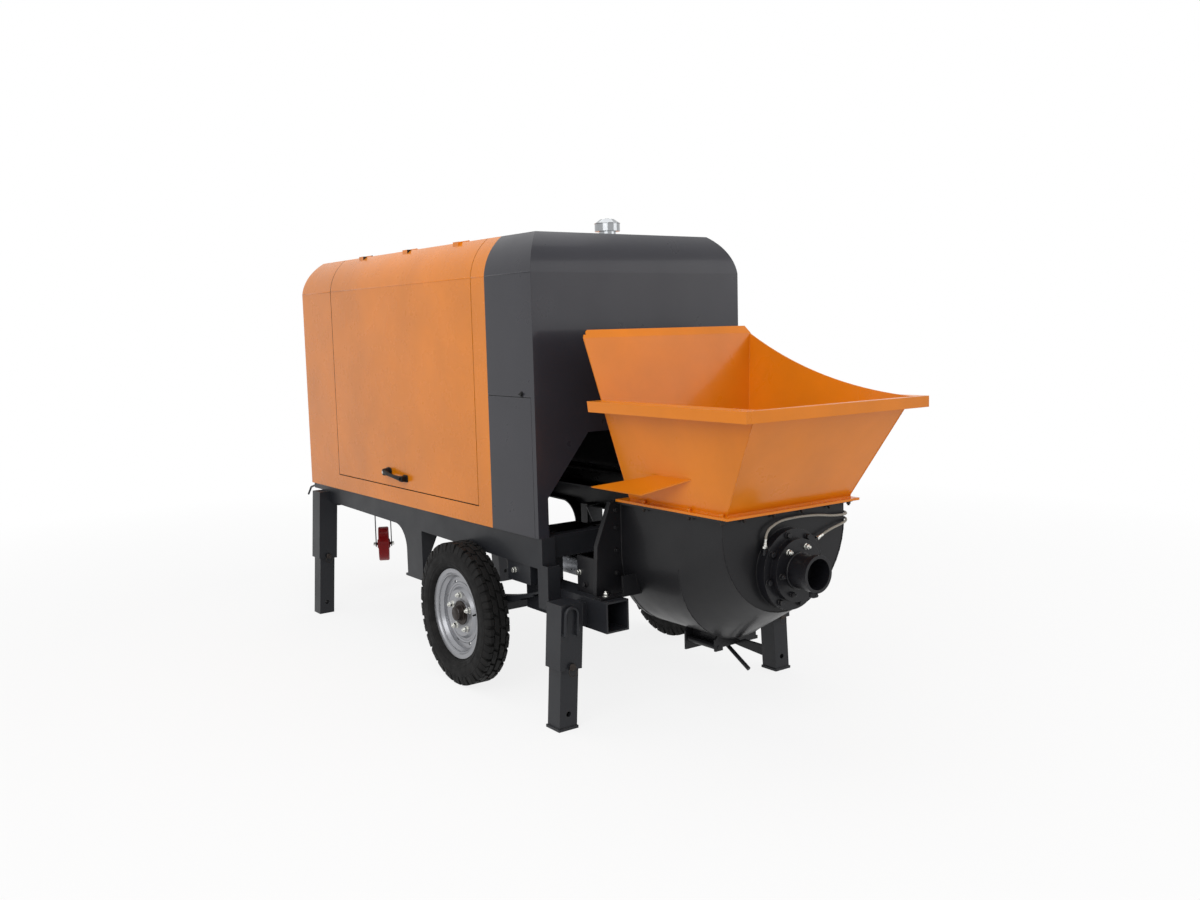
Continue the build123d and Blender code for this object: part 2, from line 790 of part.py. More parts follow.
def axle():
    """Square axle bar with turned spindles and saddles under the springs."""
    half = axle_side / 2
    bar = block(wheel_x - half, wheel_x + half, -axle_half_length, axle_half_length, wheel_z - half, wheel_z + half)
    ux, uz, radius = spring_circle()
    under = radius + spring_leaf * (spring_leaves - 0.5)
    for side in (-1, 1):
        root = side * (axle_half_length - 5)
        tip = side * (axle_half_length + spindle_length)
        bar += rod((wheel_x, root, wheel_z), (wheel_x, tip, wheel_z), spindle_radius)
        y = side * spring_centre_y
        w = spring_width / 2
        saddle = block(wheel_x - 60, wheel_x + 60, y - w, y + w, wheel_z + half - 2, wheel_z + half + spring_seat + 12)
        bar += saddle - rod((ux, y - w - 1, uz), (ux, y + w + 1, uz), under)
    return bar


def leaf_spring():
    """Left spring: stacked leaves, each shorter than the one above, and two eyes."""
    ux, uz, radius = spring_circle()
    front = degrees(atan2(spring_front_z - uz, spring_front_x - ux))
    rear = degrees(atan2(spring_rear_z - uz, spring_rear_x - ux)) % 360 - 360
    middle = degrees(atan2(-1, (wheel_x - ux) / radius))
    y0 = spring_centre_y - spring_width / 2
    y1 = spring_centre_y + spring_width / 2
    pack = None
    for i in range(spring_leaves):
        share = 1 - 0.19 * i
        a0 = middle + (rear - middle) * share
        a1 = middle + (front - middle) * share
        r0 = radius - spring_leaf / 2 + i * spring_leaf
        ring = Circle(r0 + spring_leaf) - Circle(r0)
        wedge = make_face(Polyline(
            (0, 0), (3 * radius * cos(radians(a0)), 3 * radius * sin(radians(a0))),
            (3 * radius * cos(radians(a1)), 3 * radius * sin(radians(a1))), close=True))
        leaf = extrude(Pos(ux, y1, uz) * (Plane.XZ * (ring & wedge)), amount=spring_width)
        pack = leaf if pack is None else pack + leaf
    bore = spring_pin_radius + spring_pin_clearance
    for x, z in ((spring_front_x, spring_front_z), (spring_rear_x, spring_rear_z)):
        pack += rod((x, y0, z), (x, y1, z), spring_eye_radius)
        pack -= rod((x, y0 - 5, z), (x, y1 + 5, z), bore)
    return pack


def rim():
    """Left wheel: pressed steel rim, dished disc with vent holes, and hub."""
    w = rim_half_width
    t = rim_wall
    profile = Polyline(
        (rim_radius, w), (rim_radius, w - t), (rim_bead_radius, w - t), (rim_well_radius, 8),
        (rim_well_radius, -14), (rim_bead_radius, -w + t), (rim_radius, -w + t), (rim_radius, -w),
        (rim_bead_radius - t, -w), (rim_well_radius - t, -17), (rim_well_radius - t, 11),
        (rim_bead_radius - t, w), close=True,
    )
    d = disc_thickness
    disc = Polyline(
        (rim_well_radius - t + 2, 4), (disc_ridge_radius, 4), (disc_hub_radius, 18), (hub_radius, 8),
        (hub_radius, 8 - d), (disc_hub_radius, 18 - d), (disc_ridge_radius, 4 - d),
        (rim_well_radius - t + 2, 4 - d), close=True,
    )
    wheel = revolve(Plane.XY * make_face(profile), axis=Axis.Y)
    wheel += revolve(Plane.XY * make_face(disc), axis=Axis.Y)
    wheel += Pos(0, -hub_length / 2 + 12, 0) * Rot(90, 0, 0) * Cylinder(hub_radius + 1, hub_length)
    wheel += rod((0, 10, 0), (0, 44, 0), hub_cap_radius)
    for i in range(vent_count):
        a = radians(360 / vent_count * (i + 0.5))
        x, z = vent_circle_radius * cos(a), vent_circle_radius * sin(a)
        wheel -= rod((x, 4 - d - 5, z), (x, 9, z), vent_radius)
    blind = axle_half_length + spindle_length + bearing_gap - wheel_centre_y
    wheel -= rod((0, -100, 0), (0, blind, 0), spindle_radius + spindle_clearance)
    return Pos(wheel_x, wheel_centre_y, wheel_z) * wheel


def tyre():
    """Left tyre: straight-sided carcass with a block cut out between neighbouring shoulder lugs."""
    bead = rim_bead_radius + 0.2
    s, w = tyre_half_section, tread_half_width
    lip = rim_half_width - rim_wall - 0.2
    shoulder = tyre_radius - tyre_shoulder_drop
    edge = w - tyre_shoulder_chamfer
    half = [(rim_radius + 2, lip), (rim_radius + 14, s - 6), (tyre_belly_radius, s), (shoulder, w), (tyre_radius, edge)]
    section = make_face(Polyline(
        (bead, -lip), (bead, lip), *half, *[(r, -y) for r, y in reversed(half)], close=True,
    ))
    made = revolve(Plane.XY * section, axis=Axis.Y)
    depth, reach = tyre_lug_depth, tyre_lug_reach
    notch = block(tyre_radius - depth, tyre_radius + 5, w - reach, s + 5, -tyre_lug_gap / 2, tyre_lug_gap / 2)
    pitch = 360 / tyre_lugs
    cuts = [Rot(0, pitch * i, 0) * notch for i in range(tyre_lugs)]
    cuts += [Rot(0, pitch * (i + 0.5), 0) * mirrored(notch) for i in range(tyre_lugs)]
    return Pos(wheel_x, wheel_centre_y, wheel_z) * (made - cuts)


def engine_block():
    """Diesel engine as one plain mass on the chassis rails."""
    return block(engine_rear_x, engine_rear_x + engine_length, -engine_width / 2, engine_width / 2,
                 canopy_bottom_z, canopy_bottom_z + engine_height)


def drawbar():
    """A-shaped towing frame, head tube, crossbar for the jockey and towing eye."""
    z0, z1 = drawbar_top_z - drawbar_side, drawbar_top_z
    h = drawbar_side / 2
    head_x = canopy_length + drawbar_length
    arm = corner_face([
        (canopy_length, drawbar_foot_y - h, z0), (canopy_length, drawbar_foot_y + h, z0),
        (head_x, drawbar_head_y + h, z0), (head_x, drawbar_head_y - h, z0),
    ])
    arm = extrude(arm, amount=drawbar_side, dir=(0, 0, 1))
    bar = arm + mirrored(arm)
    bar += block(head_x - 170, head_x, -drawbar_head_y - h, drawbar_head_y + h, z0, z1)
    cross_x = canopy_length + jockey_ahead
    share = jockey_ahead / drawbar_length
    reach = drawbar_foot_y + (drawbar_head_y - drawbar_foot_y) * share
    side = jockey_crossbar_side
    bar += block(cross_x - side, cross_x + side, -reach, reach, z1 - side, z1)
    bar -= rod((cross_x, 0, z0 - 20), (cross_x, 0, z1 + 20), jockey_mast_radius)
    middle = (z0 + z1) / 2
    bar += rod((head_x - 5, 0, middle), (eye_x - eye_bore_radius - 8, 0, middle), 26)
    eye = Pos(eye_x, 0, middle) * Cylinder(eye_outer_radius, eye_thickness)
    eye = chamfer(eye.edges().filter_by(GeomType.CIRCLE), length=9)
    bar += eye
    bar -= rod((eye_x, 0, middle - 60), (eye_x, 0, middle + 60), eye_bore_radius)
    return bar


def jockey_mast():
    """Fixed upright tube of the jockey wheel, clamped in the drawbar's crossbar."""
    x = canopy_length + jockey_ahead
    mast = rod((x, 0, jockey_mast_bottom_z), (x, 0, jockey_mast_top_z), jockey_mast_radius)
    mast += rod((x, 0, jockey_mast_top_z - 2), (x, 0, jockey_mast_top_z + 18), jockey_mast_radius - 10)
    crank_z = jockey_mast_top_z + 10
    mast += rod((x, 0, crank_z), (x + 150, 0, crank_z), 9)
    mast += rod((x + 145, 0, crank_z), (x + 145, 0, crank_z + 90), 11)
    bore = jockey_spigot_radius + jockey_clearance
    return mast - rod((x, 0, jockey_mast_bottom_z - 5), (x, 0, jockey_mast_bottom_z + 120), bore)


def turned_jockey(shape):
    """Place a piece drawn with its wheel heading along X under the jockey mast."""
    return Pos(canopy_length + jockey_ahead, 0, 0) * Rot(0, 0, jockey_heading) * shape


def jockey_fork():
    """Swivelling fork with its spigot and wheel axle."""
    half = jockey_wheel_width / 2 + jockey_fork_gap
    plate = jockey_fork_plate
    top = jockey_fork_top_z
    fork = rod((0, 0, top - 4), (0, 0, jockey_mast_bottom_z + 110), jockey_spigot_radius)
    fork += rod((0, 0, top - 4), (0, 0, jockey_mast_bottom_z - 1), jockey_spigot_radius + 14)
    fork += block(-34, 34, -half - plate, half + plate, top - plate, top)
    for side in (-1, 1):
        y0, y1 = side * half, side * (half + plate)
        fork += plate_xz(
            [(-34, top), (34, top), (-jockey_trail + 26, jockey_axle_z - 16),
             (-jockey_trail - 26, jockey_axle_z - 16)],
            min(y0, y1), max(y0, y1),
        )
    reach = half + plate + 14
    fork += rod((-jockey_trail, -reach, jockey_axle_z), (-jockey_trail, reach, jockey_axle_z), jockey_axle_radius)
    return turned_jockey(fork)


def jockey_wheel():
    """Solid jockey wheel with a flat tread and a raised hub."""
    w = jockey_wheel_width / 2
    r = jockey_wheel_radius
    bore = jockey_axle_radius + jockey_clearance
    half = [(bore, w + 8), (28, w + 8), (28, w - 12), (82, w - 12), (86, w), (r - 6, w), (r, w - 6)]
    section = make_face(Polyline(*half, *[(x, -y) for x, y in reversed(half)], close=True))
    wheel = Pos(-jockey_trail, 0, jockey_axle_z) * revolve(Plane.XY * section, axis=Axis.Y)
    return turned_jockey(wheel)


def funnel_front(z):
    """Front wall and back plate station at height z."""
    return hopper_collar_front_x + hopper_front_slope * (z - hopper_collar_bend_z)


def funnel_rear(z):
    """Rear wall station at height z."""
    return hopper_collar_rear_x - hopper_rear_slope * (z - hopper_collar_bend_z)


def funnel_side(z):
    """Half width across the side walls at height z."""
    return hopper_collar_half_width + hopper_side_slope * (z - hopper_collar_bend_z)


def funnel_section(z, sheet):
    """Level outline of the funnel at height z, drawn in by a sheet thickness."""
    y = funnel_side(z) - sheet
    return rectangle_at(z, funnel_rear(z) + sheet, funnel_front(z) - sheet, -y, y)


def hopper_funnel():
    """Loading hopper: tapered walls, folded rim, flared back plate, far wing and flange."""
    t = hopper_sheet
    top, bend = hopper_rim_top_z, hopper_collar_bend_z
    collar_x0, collar_x1, collar_y = hopper_collar_rear_x, hopper_collar_front_x, hopper_collar_half_width
    funnel = between(funnel_section(bend, 0), funnel_section(top, 0))
    funnel += block(collar_x0, collar_x1, -collar_y, collar_y, hopper_flange_top_z - 2, bend)
    w = hopper_rim_half_width
    rim = block(hopper_rim_rear_x, funnel_front(top), -w, w, hopper_rim_bottom_z, top)
    rim -= block(hopper_rim_rear_x + t, funnel_front(top) + 5, -w + t, w - t, hopper_rim_bottom_z - 5, top - t)
    rim &= between(
        rectangle_at(hopper_rim_bottom_z - 5, -2000, funnel_front(hopper_rim_bottom_z - 5), -w, w),
        rectangle_at(top + 5, -2000, funnel_front(top + 5), -w, w),
    )
    funnel += rim
    funnel += block(hopper_flange_rear_x, hopper_flange_front_x, -hopper_flange_half_width,
                    hopper_flange_half_width, hopper_flange_top_z - hopper_flange_thickness, hopper_flange_top_z)
    funnel -= between(funnel_section(bend, t), funnel_section(top + 1, t))
    funnel -= block(collar_x0 + t, collar_x1 - t, -collar_y + t, collar_y - t, 0, bend + 1)
    return funnel + back_plate() + far_wing() + side_deflector()


def back_plate():
    """Upright splash plate above the front wall, with a forward-leaning lip."""
    t = hopper_sheet
    low, bend = hopper_rim_top_z - t, back_plate_bend_z
    lip_z = bend + back_plate_lip_rise
    lip_x = funnel_front(bend) + back_plate_lip_reach
    lip_y = funnel_side(bend) - back_plate_lip_corner
    plate = between(
        rectangle_at(low, funnel_front(low) - t, funnel_front(low), -funnel_side(low), funnel_side(low)),
        rectangle_at(bend, funnel_front(bend) - t, funnel_front(bend), -funnel_side(bend), funnel_side(bend)),
    )
    plate += between(
        rectangle_at(bend, funnel_front(bend) - t, funnel_front(bend), -funnel_side(bend), funnel_side(bend)),
        rectangle_at(lip_z, lip_x - t, lip_x, -lip_y, lip_y),
    )
    corner = lip_y - back_plate_corner_radius
    centre_z = lip_z - back_plate_corner_radius
    cut = block(-1000, 0, corner, lip_y + 40, centre_z, lip_z + 5)
    return plate - (cut - rod((-1000, corner, centre_z), (0, corner, centre_z), back_plate_corner_radius))


def far_wing():
    """Wing on the hopper's far side, in line with its wall, with a hollow-curved top edge."""
    t = hopper_sheet
    top, bend = hopper_rim_top_z, back_plate_bend_z
    low = top - t
    rear = hopper_rim_rear_x + 2
    slab = between(
        rectangle_at(low, rear - 5, 0, -funnel_side(low), -funnel_side(low) + t),
        rectangle_at(bend, rear - 5, 0, -funnel_side(bend), -funnel_side(bend) + t),
    )
    front_low, front_high = funnel_front(low) - 2, funnel_front(bend) - 2
    edge = Spline(
        (front_high, 0, bend), (wing_dip_middle_x, 0, wing_dip_middle_z),
        (wing_dip_rear_x, 0, wing_dip_rear_z), (rear, 0, top),
    )
    profile = make_face([
        edge, Line((rear, 0, top), (rear, 0, low)), Line((rear, 0, low), (front_low, 0, low)),
        Line((front_low, 0, low), (front_high, 0, bend)),
    ])
    return slab & extrude(profile, amount=700, dir=(0, -1, 0))


def side_deflector():
    """Slanted plate welded to the hopper's left wall."""
    wall_y = funnel_side(side_plate_wall_z) - hopper_sheet / 2
    corners = [
        (side_plate_front_x, side_plate_outer_y, side_plate_outer_z),
        (side_plate_rear_x, side_plate_outer_y, side_plate_outer_z),
        (side_plate_wall_rear_x, wall_y, side_plate_wall_z),
        (side_plate_wall_front_x, wall_y, side_plate_wall_z),
    ]
    return extrude(corner_face(corners), amount=side_plate_thickness)


def trough_face(x, radius, axis_z, top):
    """U-shaped section of the tub at station x."""
    return make_face(
        [
            Line((x, radius, top), (x, -radius, top)),
            Line((x, -radius, top), (x, -radius, axis_z)),
            ThreePointArc((x, -radius, axis_z), (x, 0, axis_z - radius), (x, radius, axis_z)),
            Line((x, radius, axis_z), (x, radius, top)),
        ]
    )


def trough_volume(radius, front_x, knee_x, rear_x, rise, top):
    """Trough with a level bottom that rises towards the outlet."""
    level = trough_face(knee_x, radius, trough_axis_z, top)
    straight = extrude(level, amount=front_x - knee_x, dir=(1, 0, 0))
    return straight + loft([level, trough_face(rear_x, radius, trough_axis_z + rise, top)], ruled=True)


tub_top_z = hopper_flange_top_z - hopper_flange_thickness


def hopper_tub():
    """U-section tub with a sloping rear bottom, rear plate, top flange and clean-out neck."""
    t = trough_wall
    tub = trough_volume(trough_radius, trough_front_x, trough_knee_x, trough_rear_x, trough_rear_rise, tub_top_z)
    share = (trough_rear_x + t - trough_knee_x) / (trough_rear_x - trough_knee_x)
    inside = trough_volume(trough_radius - t, trough_front_x + 5, trough_knee_x, trough_rear_x + t,
                           trough_rear_rise * share, tub_top_z + 20)
    rim_y = trough_radius + trough_top_flange_width
    tub += block(trough_rear_x - trough_top_flange_width, trough_front_x, -rim_y, rim_y, tub_top_z - 10, tub_top_z)
    neck_top = trough_axis_z - trough_radius + 60
    w = cleanout_half_width
    x0, x1 = cleanout_rear_x, cleanout_front_x
    tub += block(x0, x1, -w, w, cleanout_neck_bottom_z, neck_top)
    lug = cleanout_lug_thickness
    root_z = trough_axis_z - trough_radius + 30
    lugs = (
        (x1, cleanout_front_lug_inner_y, cleanout_front_lug_bottom_z),
        (x0 - lug, cleanout_rear_lug_inner_y, cleanout_rear_lug_bottom_z),
    )
    for start, inner_y, low in lugs:
        tub += plate_yz(
            [(inner_y, root_z), (cleanout_hinge_y, root_z), (cleanout_hinge_y + 18, root_z - 20),
             (cleanout_hinge_y + 18, low), (inner_y, low)],
            start, start + lug,
        )
    tub += block(distributor_rear_x, distributor_rear_x + distributor_length, -trough_radius - distributor_width,
                 -trough_radius + 2, distributor_bottom_z, distributor_bottom_z + distributor_height)
    for z in (hose_left_z - 1, hose_right_z):
        tub += rod((hose_end_x, hose_wall_y, z), (distributor_rear_x + 2, hose_wall_y, z), nipple_radius)
    beam_top = rear_beam_bottom_z + rear_beam_height
    for side in (-1, 1):
        foot_y = (side * tub_foot_inner_y, side * rear_beam_outer_y)
        tub += block(tub_foot_x, tub_foot_x + tub_foot_length, *foot_y, beam_top, beam_top + tub_foot_thickness)
        tub += block(tub_foot_x, tub_foot_x + 10, side * tub_foot_inner_y, side * (trough_radius + 60),
                     beam_top, beam_top + tub_foot_height)
    tub -= inside
    n = cleanout_neck_wall
    tub -= block(x0 + n, x1 - n, -w + n, w - n, cleanout_neck_bottom_z - 5, neck_top + 5)
    tub -= rod((trough_rear_x - 60, 0, trough_axis_z), (trough_rear_x + 60, 0, trough_axis_z),
               transfer_radius + transfer_clearance)
    z = cleanout_neck_bottom_z - cleanout_seat_gap - cleanout_door_thickness / 2
    tub += rod((x0 - lug - 3, cleanout_hinge_y, z), (x1 + lug + 3, cleanout_hinge_y, z), cleanout_pin_radius)
    return tub


def tub_bulkhead():
    """Front plate of the tub, standing on the lower beams, with its gussets and ports."""
    foot_z = rear_beam_bottom_z + rear_beam_height
    x0, x1 = trough_front_x, trough_front_x + bulkhead_thickness
    outline = [
        (-bulkhead_foot_half_width, foot_z), (bulkhead_foot_half_width, foot_z),
        (bulkhead_knee_half_width, bulkhead_knee_z), (bulkhead_top_half_width, tub_top_z),
        (-bulkhead_top_half_width, tub_top_z), (-bulkhead_knee_half_width, bulkhead_knee_z),
    ]
    plate = plate_yz(outline, x0, x1)
    plate += extrude(trough_face(x0, trough_radius, trough_axis_z, tub_top_z), amount=bulkhead_thickness, dir=(1, 0, 0))
    for side in (-1, 1):
        y = side * (bulkhead_foot_half_width - 14)
        g = gusset_thickness / 2
        plate += block(x1 - 2, x1 + gusset_length, y - g, y + g, foot_z, foot_z + gusset_height)
        plate -= rod((x0 - 5, side * port_y, port_z), (x1 + 5, side * port_y, port_z), port_radius)
    bore = valve_shaft_radius + valve_shaft_clearance
    plate -= rod((x0 - 5, 0, trough_axis_z), (x1 + 5, 0, trough_axis_z), bore)
    return plate


left_hose_route = [
    (hose_x, 138.0, 822.0), (hose_x, 128.0, 881.0), (hose_x, 60.0, 912.0), (hose_x, -50.0, 917.0),
    (hose_x, -160.0, 911.0), (hose_x, -255.0, hose_left_z + 3), (hose_x, hose_wall_y + hose_turn, hose_left_z),
    (hose_x + hose_turn, hose_wall_y, hose_left_z - 1), (hose_end_x, hose_wall_y, hose_left_z - 1),
]
right_hose_route = [
    (hose_x, -165.0, 817.0), (hose_x, -236.0, 842.0), (hose_x, hose_wall_y + hose_turn, hose_right_z - 5),
    (hose_x + hose_turn, hose_wall_y, hose_right_z), (hose_end_x, hose_wall_y, hose_right_z),
]


def hose_radii(route):
    """Bend radius at each inner point: the arc takes 0.45 of the shorter neighbouring run."""
    radii = []
    for before, here, after in zip(route, route[1:], route[2:]):
        arriving, leaving = Vector(*here) - Vector(*before), Vector(*after) - Vector(*here)
        turn = radians(arriving.get_angle(leaving))
        radii.append(0.45 * min(arriving.length, leaving.length) / tan(turn / 2))
    return radii


def grease_hose(route):
    """Hose from a nipple on the outlet flange round the tub's corner to the distributor."""
    start = Plane(origin=route[0], z_dir=Vector(*route[1]) - Vector(*route[0]))
    return sweep(start * Circle(hose_radius), path=FilletPolyline(*route, radius=hose_radii(route)))


def outlet_flange():
    """Round outlet housing bolted to the tub's rear plate, with two grease nipples."""
    x0 = trough_rear_x
    ring = rod((x0, 0, trough_axis_z), (x0 - outlet_flange_thickness, 0, trough_axis_z), outlet_flange_radius)
    ring += rod((x0 - outlet_flange_thickness + 2, 0, trough_axis_z),
                (x0 - outlet_flange_thickness - outlet_plate_thickness, 0, trough_axis_z), outlet_plate_radius)
    for route in (left_hose_route, right_hose_route):
        tip = Vector(*route[0])
        root = tip - (Vector(*route[1]) - tip).normalized() * nipple_length
        ring += rod(tuple(root), tuple(tip), nipple_radius)
    inner = transfer_radius + transfer_clearance
    ring -= rod((x0 + 5, 0, trough_axis_z), (x0 - outlet_flange_thickness, 0, trough_axis_z), inner)
    ring -= rod((x0, 0, trough_axis_z), (x0 - 200, 0, trough_axis_z), outlet_bore_radius)
    return ring


def outlet_pipe():
    """Delivery stub with a coupling groove and end ring."""
    x0 = trough_rear_x - outlet_flange_thickness - outlet_plate_thickness
    pipe = rod((x0, 0, trough_axis_z), (outlet_end_x, 0, trough_axis_z), outlet_pipe_radius)
    pipe += rod((outlet_end_x, 0, trough_axis_z), (outlet_end_x + outlet_ring_length, 0, trough_axis_z),
                outlet_ring_radius)
    return pipe - rod((x0 + 5, 0, trough_axis_z), (outlet_end_x - 5, 0, trough_axis_z), outlet_bore_radius)


def transfer_tube():
    """S-shaped tube between the pumping port and the outlet, with its shaft and lever."""
    rear = trough_rear_x - outlet_flange_thickness + 0.3
    front = trough_front_x - transfer_plate_gap
    corners = [
        (rear, 0, trough_axis_z), (-690, 0, trough_axis_z), (-440, port_y, port_z), (front, port_y, port_z),
    ]
    path = FilletPolyline(*corners, radius=transfer_bend_radius)
    start = Plane(origin=corners[0], z_dir=(1, 0, 0))
    outer = sweep(start * Circle(transfer_radius), path=path)
    bore = sweep(start * Circle(transfer_bore_radius), path=path)
    valve = outer + rod((front, port_y, port_z), (front - transfer_plate_thickness, port_y, port_z), transfer_plate_radius)
    arm = plate_yz(
        [(-42, trough_axis_z + 38), (42, trough_axis_z + 38), (port_y + 60, port_z + 60), (port_y - 70, port_z - 10)],
        -340, -316,
    )
    valve += arm
    lever_x = trough_front_x + bulkhead_thickness + valve_lever_gap
    valve += rod((-345, 0, trough_axis_z), (lever_x + valve_lever_thickness, 0, trough_axis_z), valve_shaft_radius)
    lever = plate_yz(
        [(-40, trough_axis_z - 40), (40, trough_axis_z - 40), (32, trough_axis_z + valve_lever_length),
         (-32, trough_axis_z + valve_lever_length)],
        lever_x, lever_x + valve_lever_thickness,
    )
    valve += lever
    return valve - bore


def concrete_cylinder():
    """Left concrete cylinder, closed by its piston at the bulkhead's port."""
    x0 = trough_front_x + bulkhead_thickness
    return rod((x0, port_y, port_z), (cylinder_front_x, port_y, port_z), cylinder_radius)


def water_box():
    """Open-topped box between the concrete cylinders and the rams."""
    x0, x1 = cylinder_front_x, cylinder_front_x + water_box_length
    w, t = water_box_half_width, water_box_wall
    box = block(x0, x1, -w, w, water_box_bottom_z, water_box_top_z)
    return box - block(x0 + t, x1 - t, -w + t, w - t, water_box_bottom_z + t, water_box_top_z + 5)


def hydraulic_ram():
    """Left drive cylinder with its end blocks."""
    x0 = cylinder_front_x + water_box_length
    x1 = x0 + ram_length
    ram = rod((x0, port_y, port_z), (x1, port_y, port_z), ram_radius)
    ram += rod((x0, port_y, port_z), (x0 + ram_end_length, port_y, port_z), ram_end_radius)
    return ram + rod((x1 - ram_end_length, port_y, port_z), (x1, port_y, port_z), ram_end_radius)


def cleanout_door():
    """Hinged flap under the tub, with its knuckles and lever."""
    t = cleanout_door_thickness
    top = cleanout_neck_bottom_z - cleanout_seat_gap
    w = cleanout_half_width
    x0, x1 = cleanout_rear_x + cleanout_end_gap, cleanout_front_x - cleanout_end_gap
    hinge_z_low = top - t / 2
    door = block(x0, x1, -w - 12, cleanout_hinge_y, top - t, top)
    door += rod((x0, cleanout_hinge_y, hinge_z_low), (x1, cleanout_hinge_y, hinge_z_low), cleanout_knuckle_radius)
    lever = rod((-500, 0, top - t + 2), (-678, 0, 238), cleanout_lever_radius)
    door += lever + block(-515, -485, -16, 16, top - t - 12, top - t + 2)
    bar = cleanout_bar_thickness / 2
    door += plate_xz(
        [(x0 + 50, top - t), (x0 + 50, top - 2), (x0 - 6, top - 2), (x0 - 30, top + 10),
         (cleanout_bar_end_x, top + 10), (cleanout_bar_end_x, top + 10 - cleanout_bar_height),
         (x0 - 6, top - t - 8)],
        -bar, bar,
    )
    bore = cleanout_pin_radius + cleanout_clearance
    return door - rod((x0 - 5, cleanout_hinge_y, hinge_z_low), (x1 + 5, cleanout_hinge_y, hinge_z_low), bore)


parts = {
    "chassis_frame": chassis_frame(),
    "axle": axle(),
    "drawbar": drawbar(),
    "jockey_mast": jockey_mast(),
    "jockey_fork": jockey_fork(),
    "jockey_wheel": jockey_wheel(),
    "canopy_front_shell": canopy_front_shell(),
    "canopy_rear_shell": canopy_rear_shell(),
    "door_left": canopy_door(1),
    "door_right": canopy_door(-1),
    "roof_cap": roof_cap(),
    "engine_block": engine_block(),
    "hopper_funnel": hopper_funnel(),
    "hopper_tub": hopper_tub(),
    "tub_bulkhead": tub_bulkhead(),
    "outlet_flange": outlet_flange(),
    "outlet_pipe": outlet_pipe(),
    "grease_hose_left": grease_hose(left_hose_route),
    "grease_hose_right": grease_hose(right_hose_route),
    "transfer_tube": transfer_tube(),
    "water_box": water_box(),
    "cleanout_door": cleanout_door(),
}
left_and_right = {
    "rear_beam": rear_beam(),
    "leaf_spring": leaf_spring(),
    "rim": rim(),
    "tyre": tyre(),
    "service_panel": service_panel(),
    "door_handle": door_handle(),
    "concrete_cylinder": concrete_cylinder(),
    "hydraulic_ram": hydraulic_ram(),
    "leg_sleeve_front": leg_sleeve(front_leg_x, front_sleeve_bottom_z, front_sleeve_top_z),
    "leg_sleeve_rear": rear_leg_sleeve(),
    "leg_tube_front": leg_tube(front_leg_x, front_sleeve_top_z, False),
    "leg_tube_rear": leg_tube(rear_leg_x, rear_sleeve_top_z, True),
}
for name, piece in left_and_right.items():
    parts[name + "_left"] = piece
    parts[name + "_right"] = mirrored(piece)

for name, route in (("left", left_hose_route), ("right", right_hose_route)):
    print("grease hose", name, "bend radii", [round(r) for r in hose_radii(route)])

os.makedirs("parts", exist_ok=True)
for name, piece in parts.items():
    export_step(Pos(-machine_middle_x, 0, 0) * piece, f"parts/{name}.step")
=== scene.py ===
"""Trailer-mounted concrete pump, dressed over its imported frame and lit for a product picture."""
import json
import logging
from dataclasses import dataclass
from enum import Enum
from math import cos, pi, radians, sin, tau
from typing import Sequence

import bmesh
import bpy
from mathutils import Matrix, Vector


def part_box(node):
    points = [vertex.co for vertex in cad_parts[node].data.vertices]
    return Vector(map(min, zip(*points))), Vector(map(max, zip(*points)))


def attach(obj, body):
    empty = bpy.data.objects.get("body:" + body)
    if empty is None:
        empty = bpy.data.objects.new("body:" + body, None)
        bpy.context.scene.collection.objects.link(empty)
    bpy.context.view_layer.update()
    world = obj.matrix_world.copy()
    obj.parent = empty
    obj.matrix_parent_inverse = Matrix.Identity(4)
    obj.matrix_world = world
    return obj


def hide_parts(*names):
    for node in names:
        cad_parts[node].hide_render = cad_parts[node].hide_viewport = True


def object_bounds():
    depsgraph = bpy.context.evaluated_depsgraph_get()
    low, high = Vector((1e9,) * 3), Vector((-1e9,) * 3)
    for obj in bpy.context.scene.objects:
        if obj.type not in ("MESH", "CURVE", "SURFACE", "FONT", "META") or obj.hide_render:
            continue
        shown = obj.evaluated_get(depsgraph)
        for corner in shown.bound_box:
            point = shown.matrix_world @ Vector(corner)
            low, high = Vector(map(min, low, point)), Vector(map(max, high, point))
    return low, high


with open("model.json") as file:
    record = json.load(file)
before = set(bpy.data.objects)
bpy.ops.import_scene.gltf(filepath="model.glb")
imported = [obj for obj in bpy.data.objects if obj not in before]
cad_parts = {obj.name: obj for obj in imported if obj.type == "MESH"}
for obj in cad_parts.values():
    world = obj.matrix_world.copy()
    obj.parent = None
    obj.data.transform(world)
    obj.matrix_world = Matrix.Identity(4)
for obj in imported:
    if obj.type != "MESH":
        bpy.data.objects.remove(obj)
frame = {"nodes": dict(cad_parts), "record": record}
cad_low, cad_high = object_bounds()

log = logging.getLogger("concrete_pump")

Colour = tuple[float, float, float]
Point = tuple[float, float, float]
Outline = Sequence[tuple[float, float]]
Socket = bpy.types.NodeSocket


class Side(Enum):
    """Left and right of the machine, as the sign of Y."""

    LEFT = 1
    RIGHT = -1

    @property
    def word(self) -> str:
        """The side's name as the frame's nodes use it."""
        return self.name.lower()


def linear(colour: Colour) -> tuple[float, float, float, float]:
    """Turn a colour as it is seen on screen into the shader's linear values.

    Args:
        colour: Red, green and blue from 0 to 1, as seen.

    Returns:
        Linear red, green, blue and full opacity.
    """
    return (*(c / 12.92 if c <= 0.04045 else ((c + 0.055) / 1.055) ** 2.4 for c in colour), 1.0)


def shade(colour: Colour, factor: float) -> Colour:
    """Make a colour darker or lighter.

    Args:
        colour: Red, green and blue as seen.
        factor: Below one darkens, above one lightens.

    Returns:
        The changed colour, kept within 0 to 1.
    """
    return tuple(min(1.0, c * factor) for c in colour)


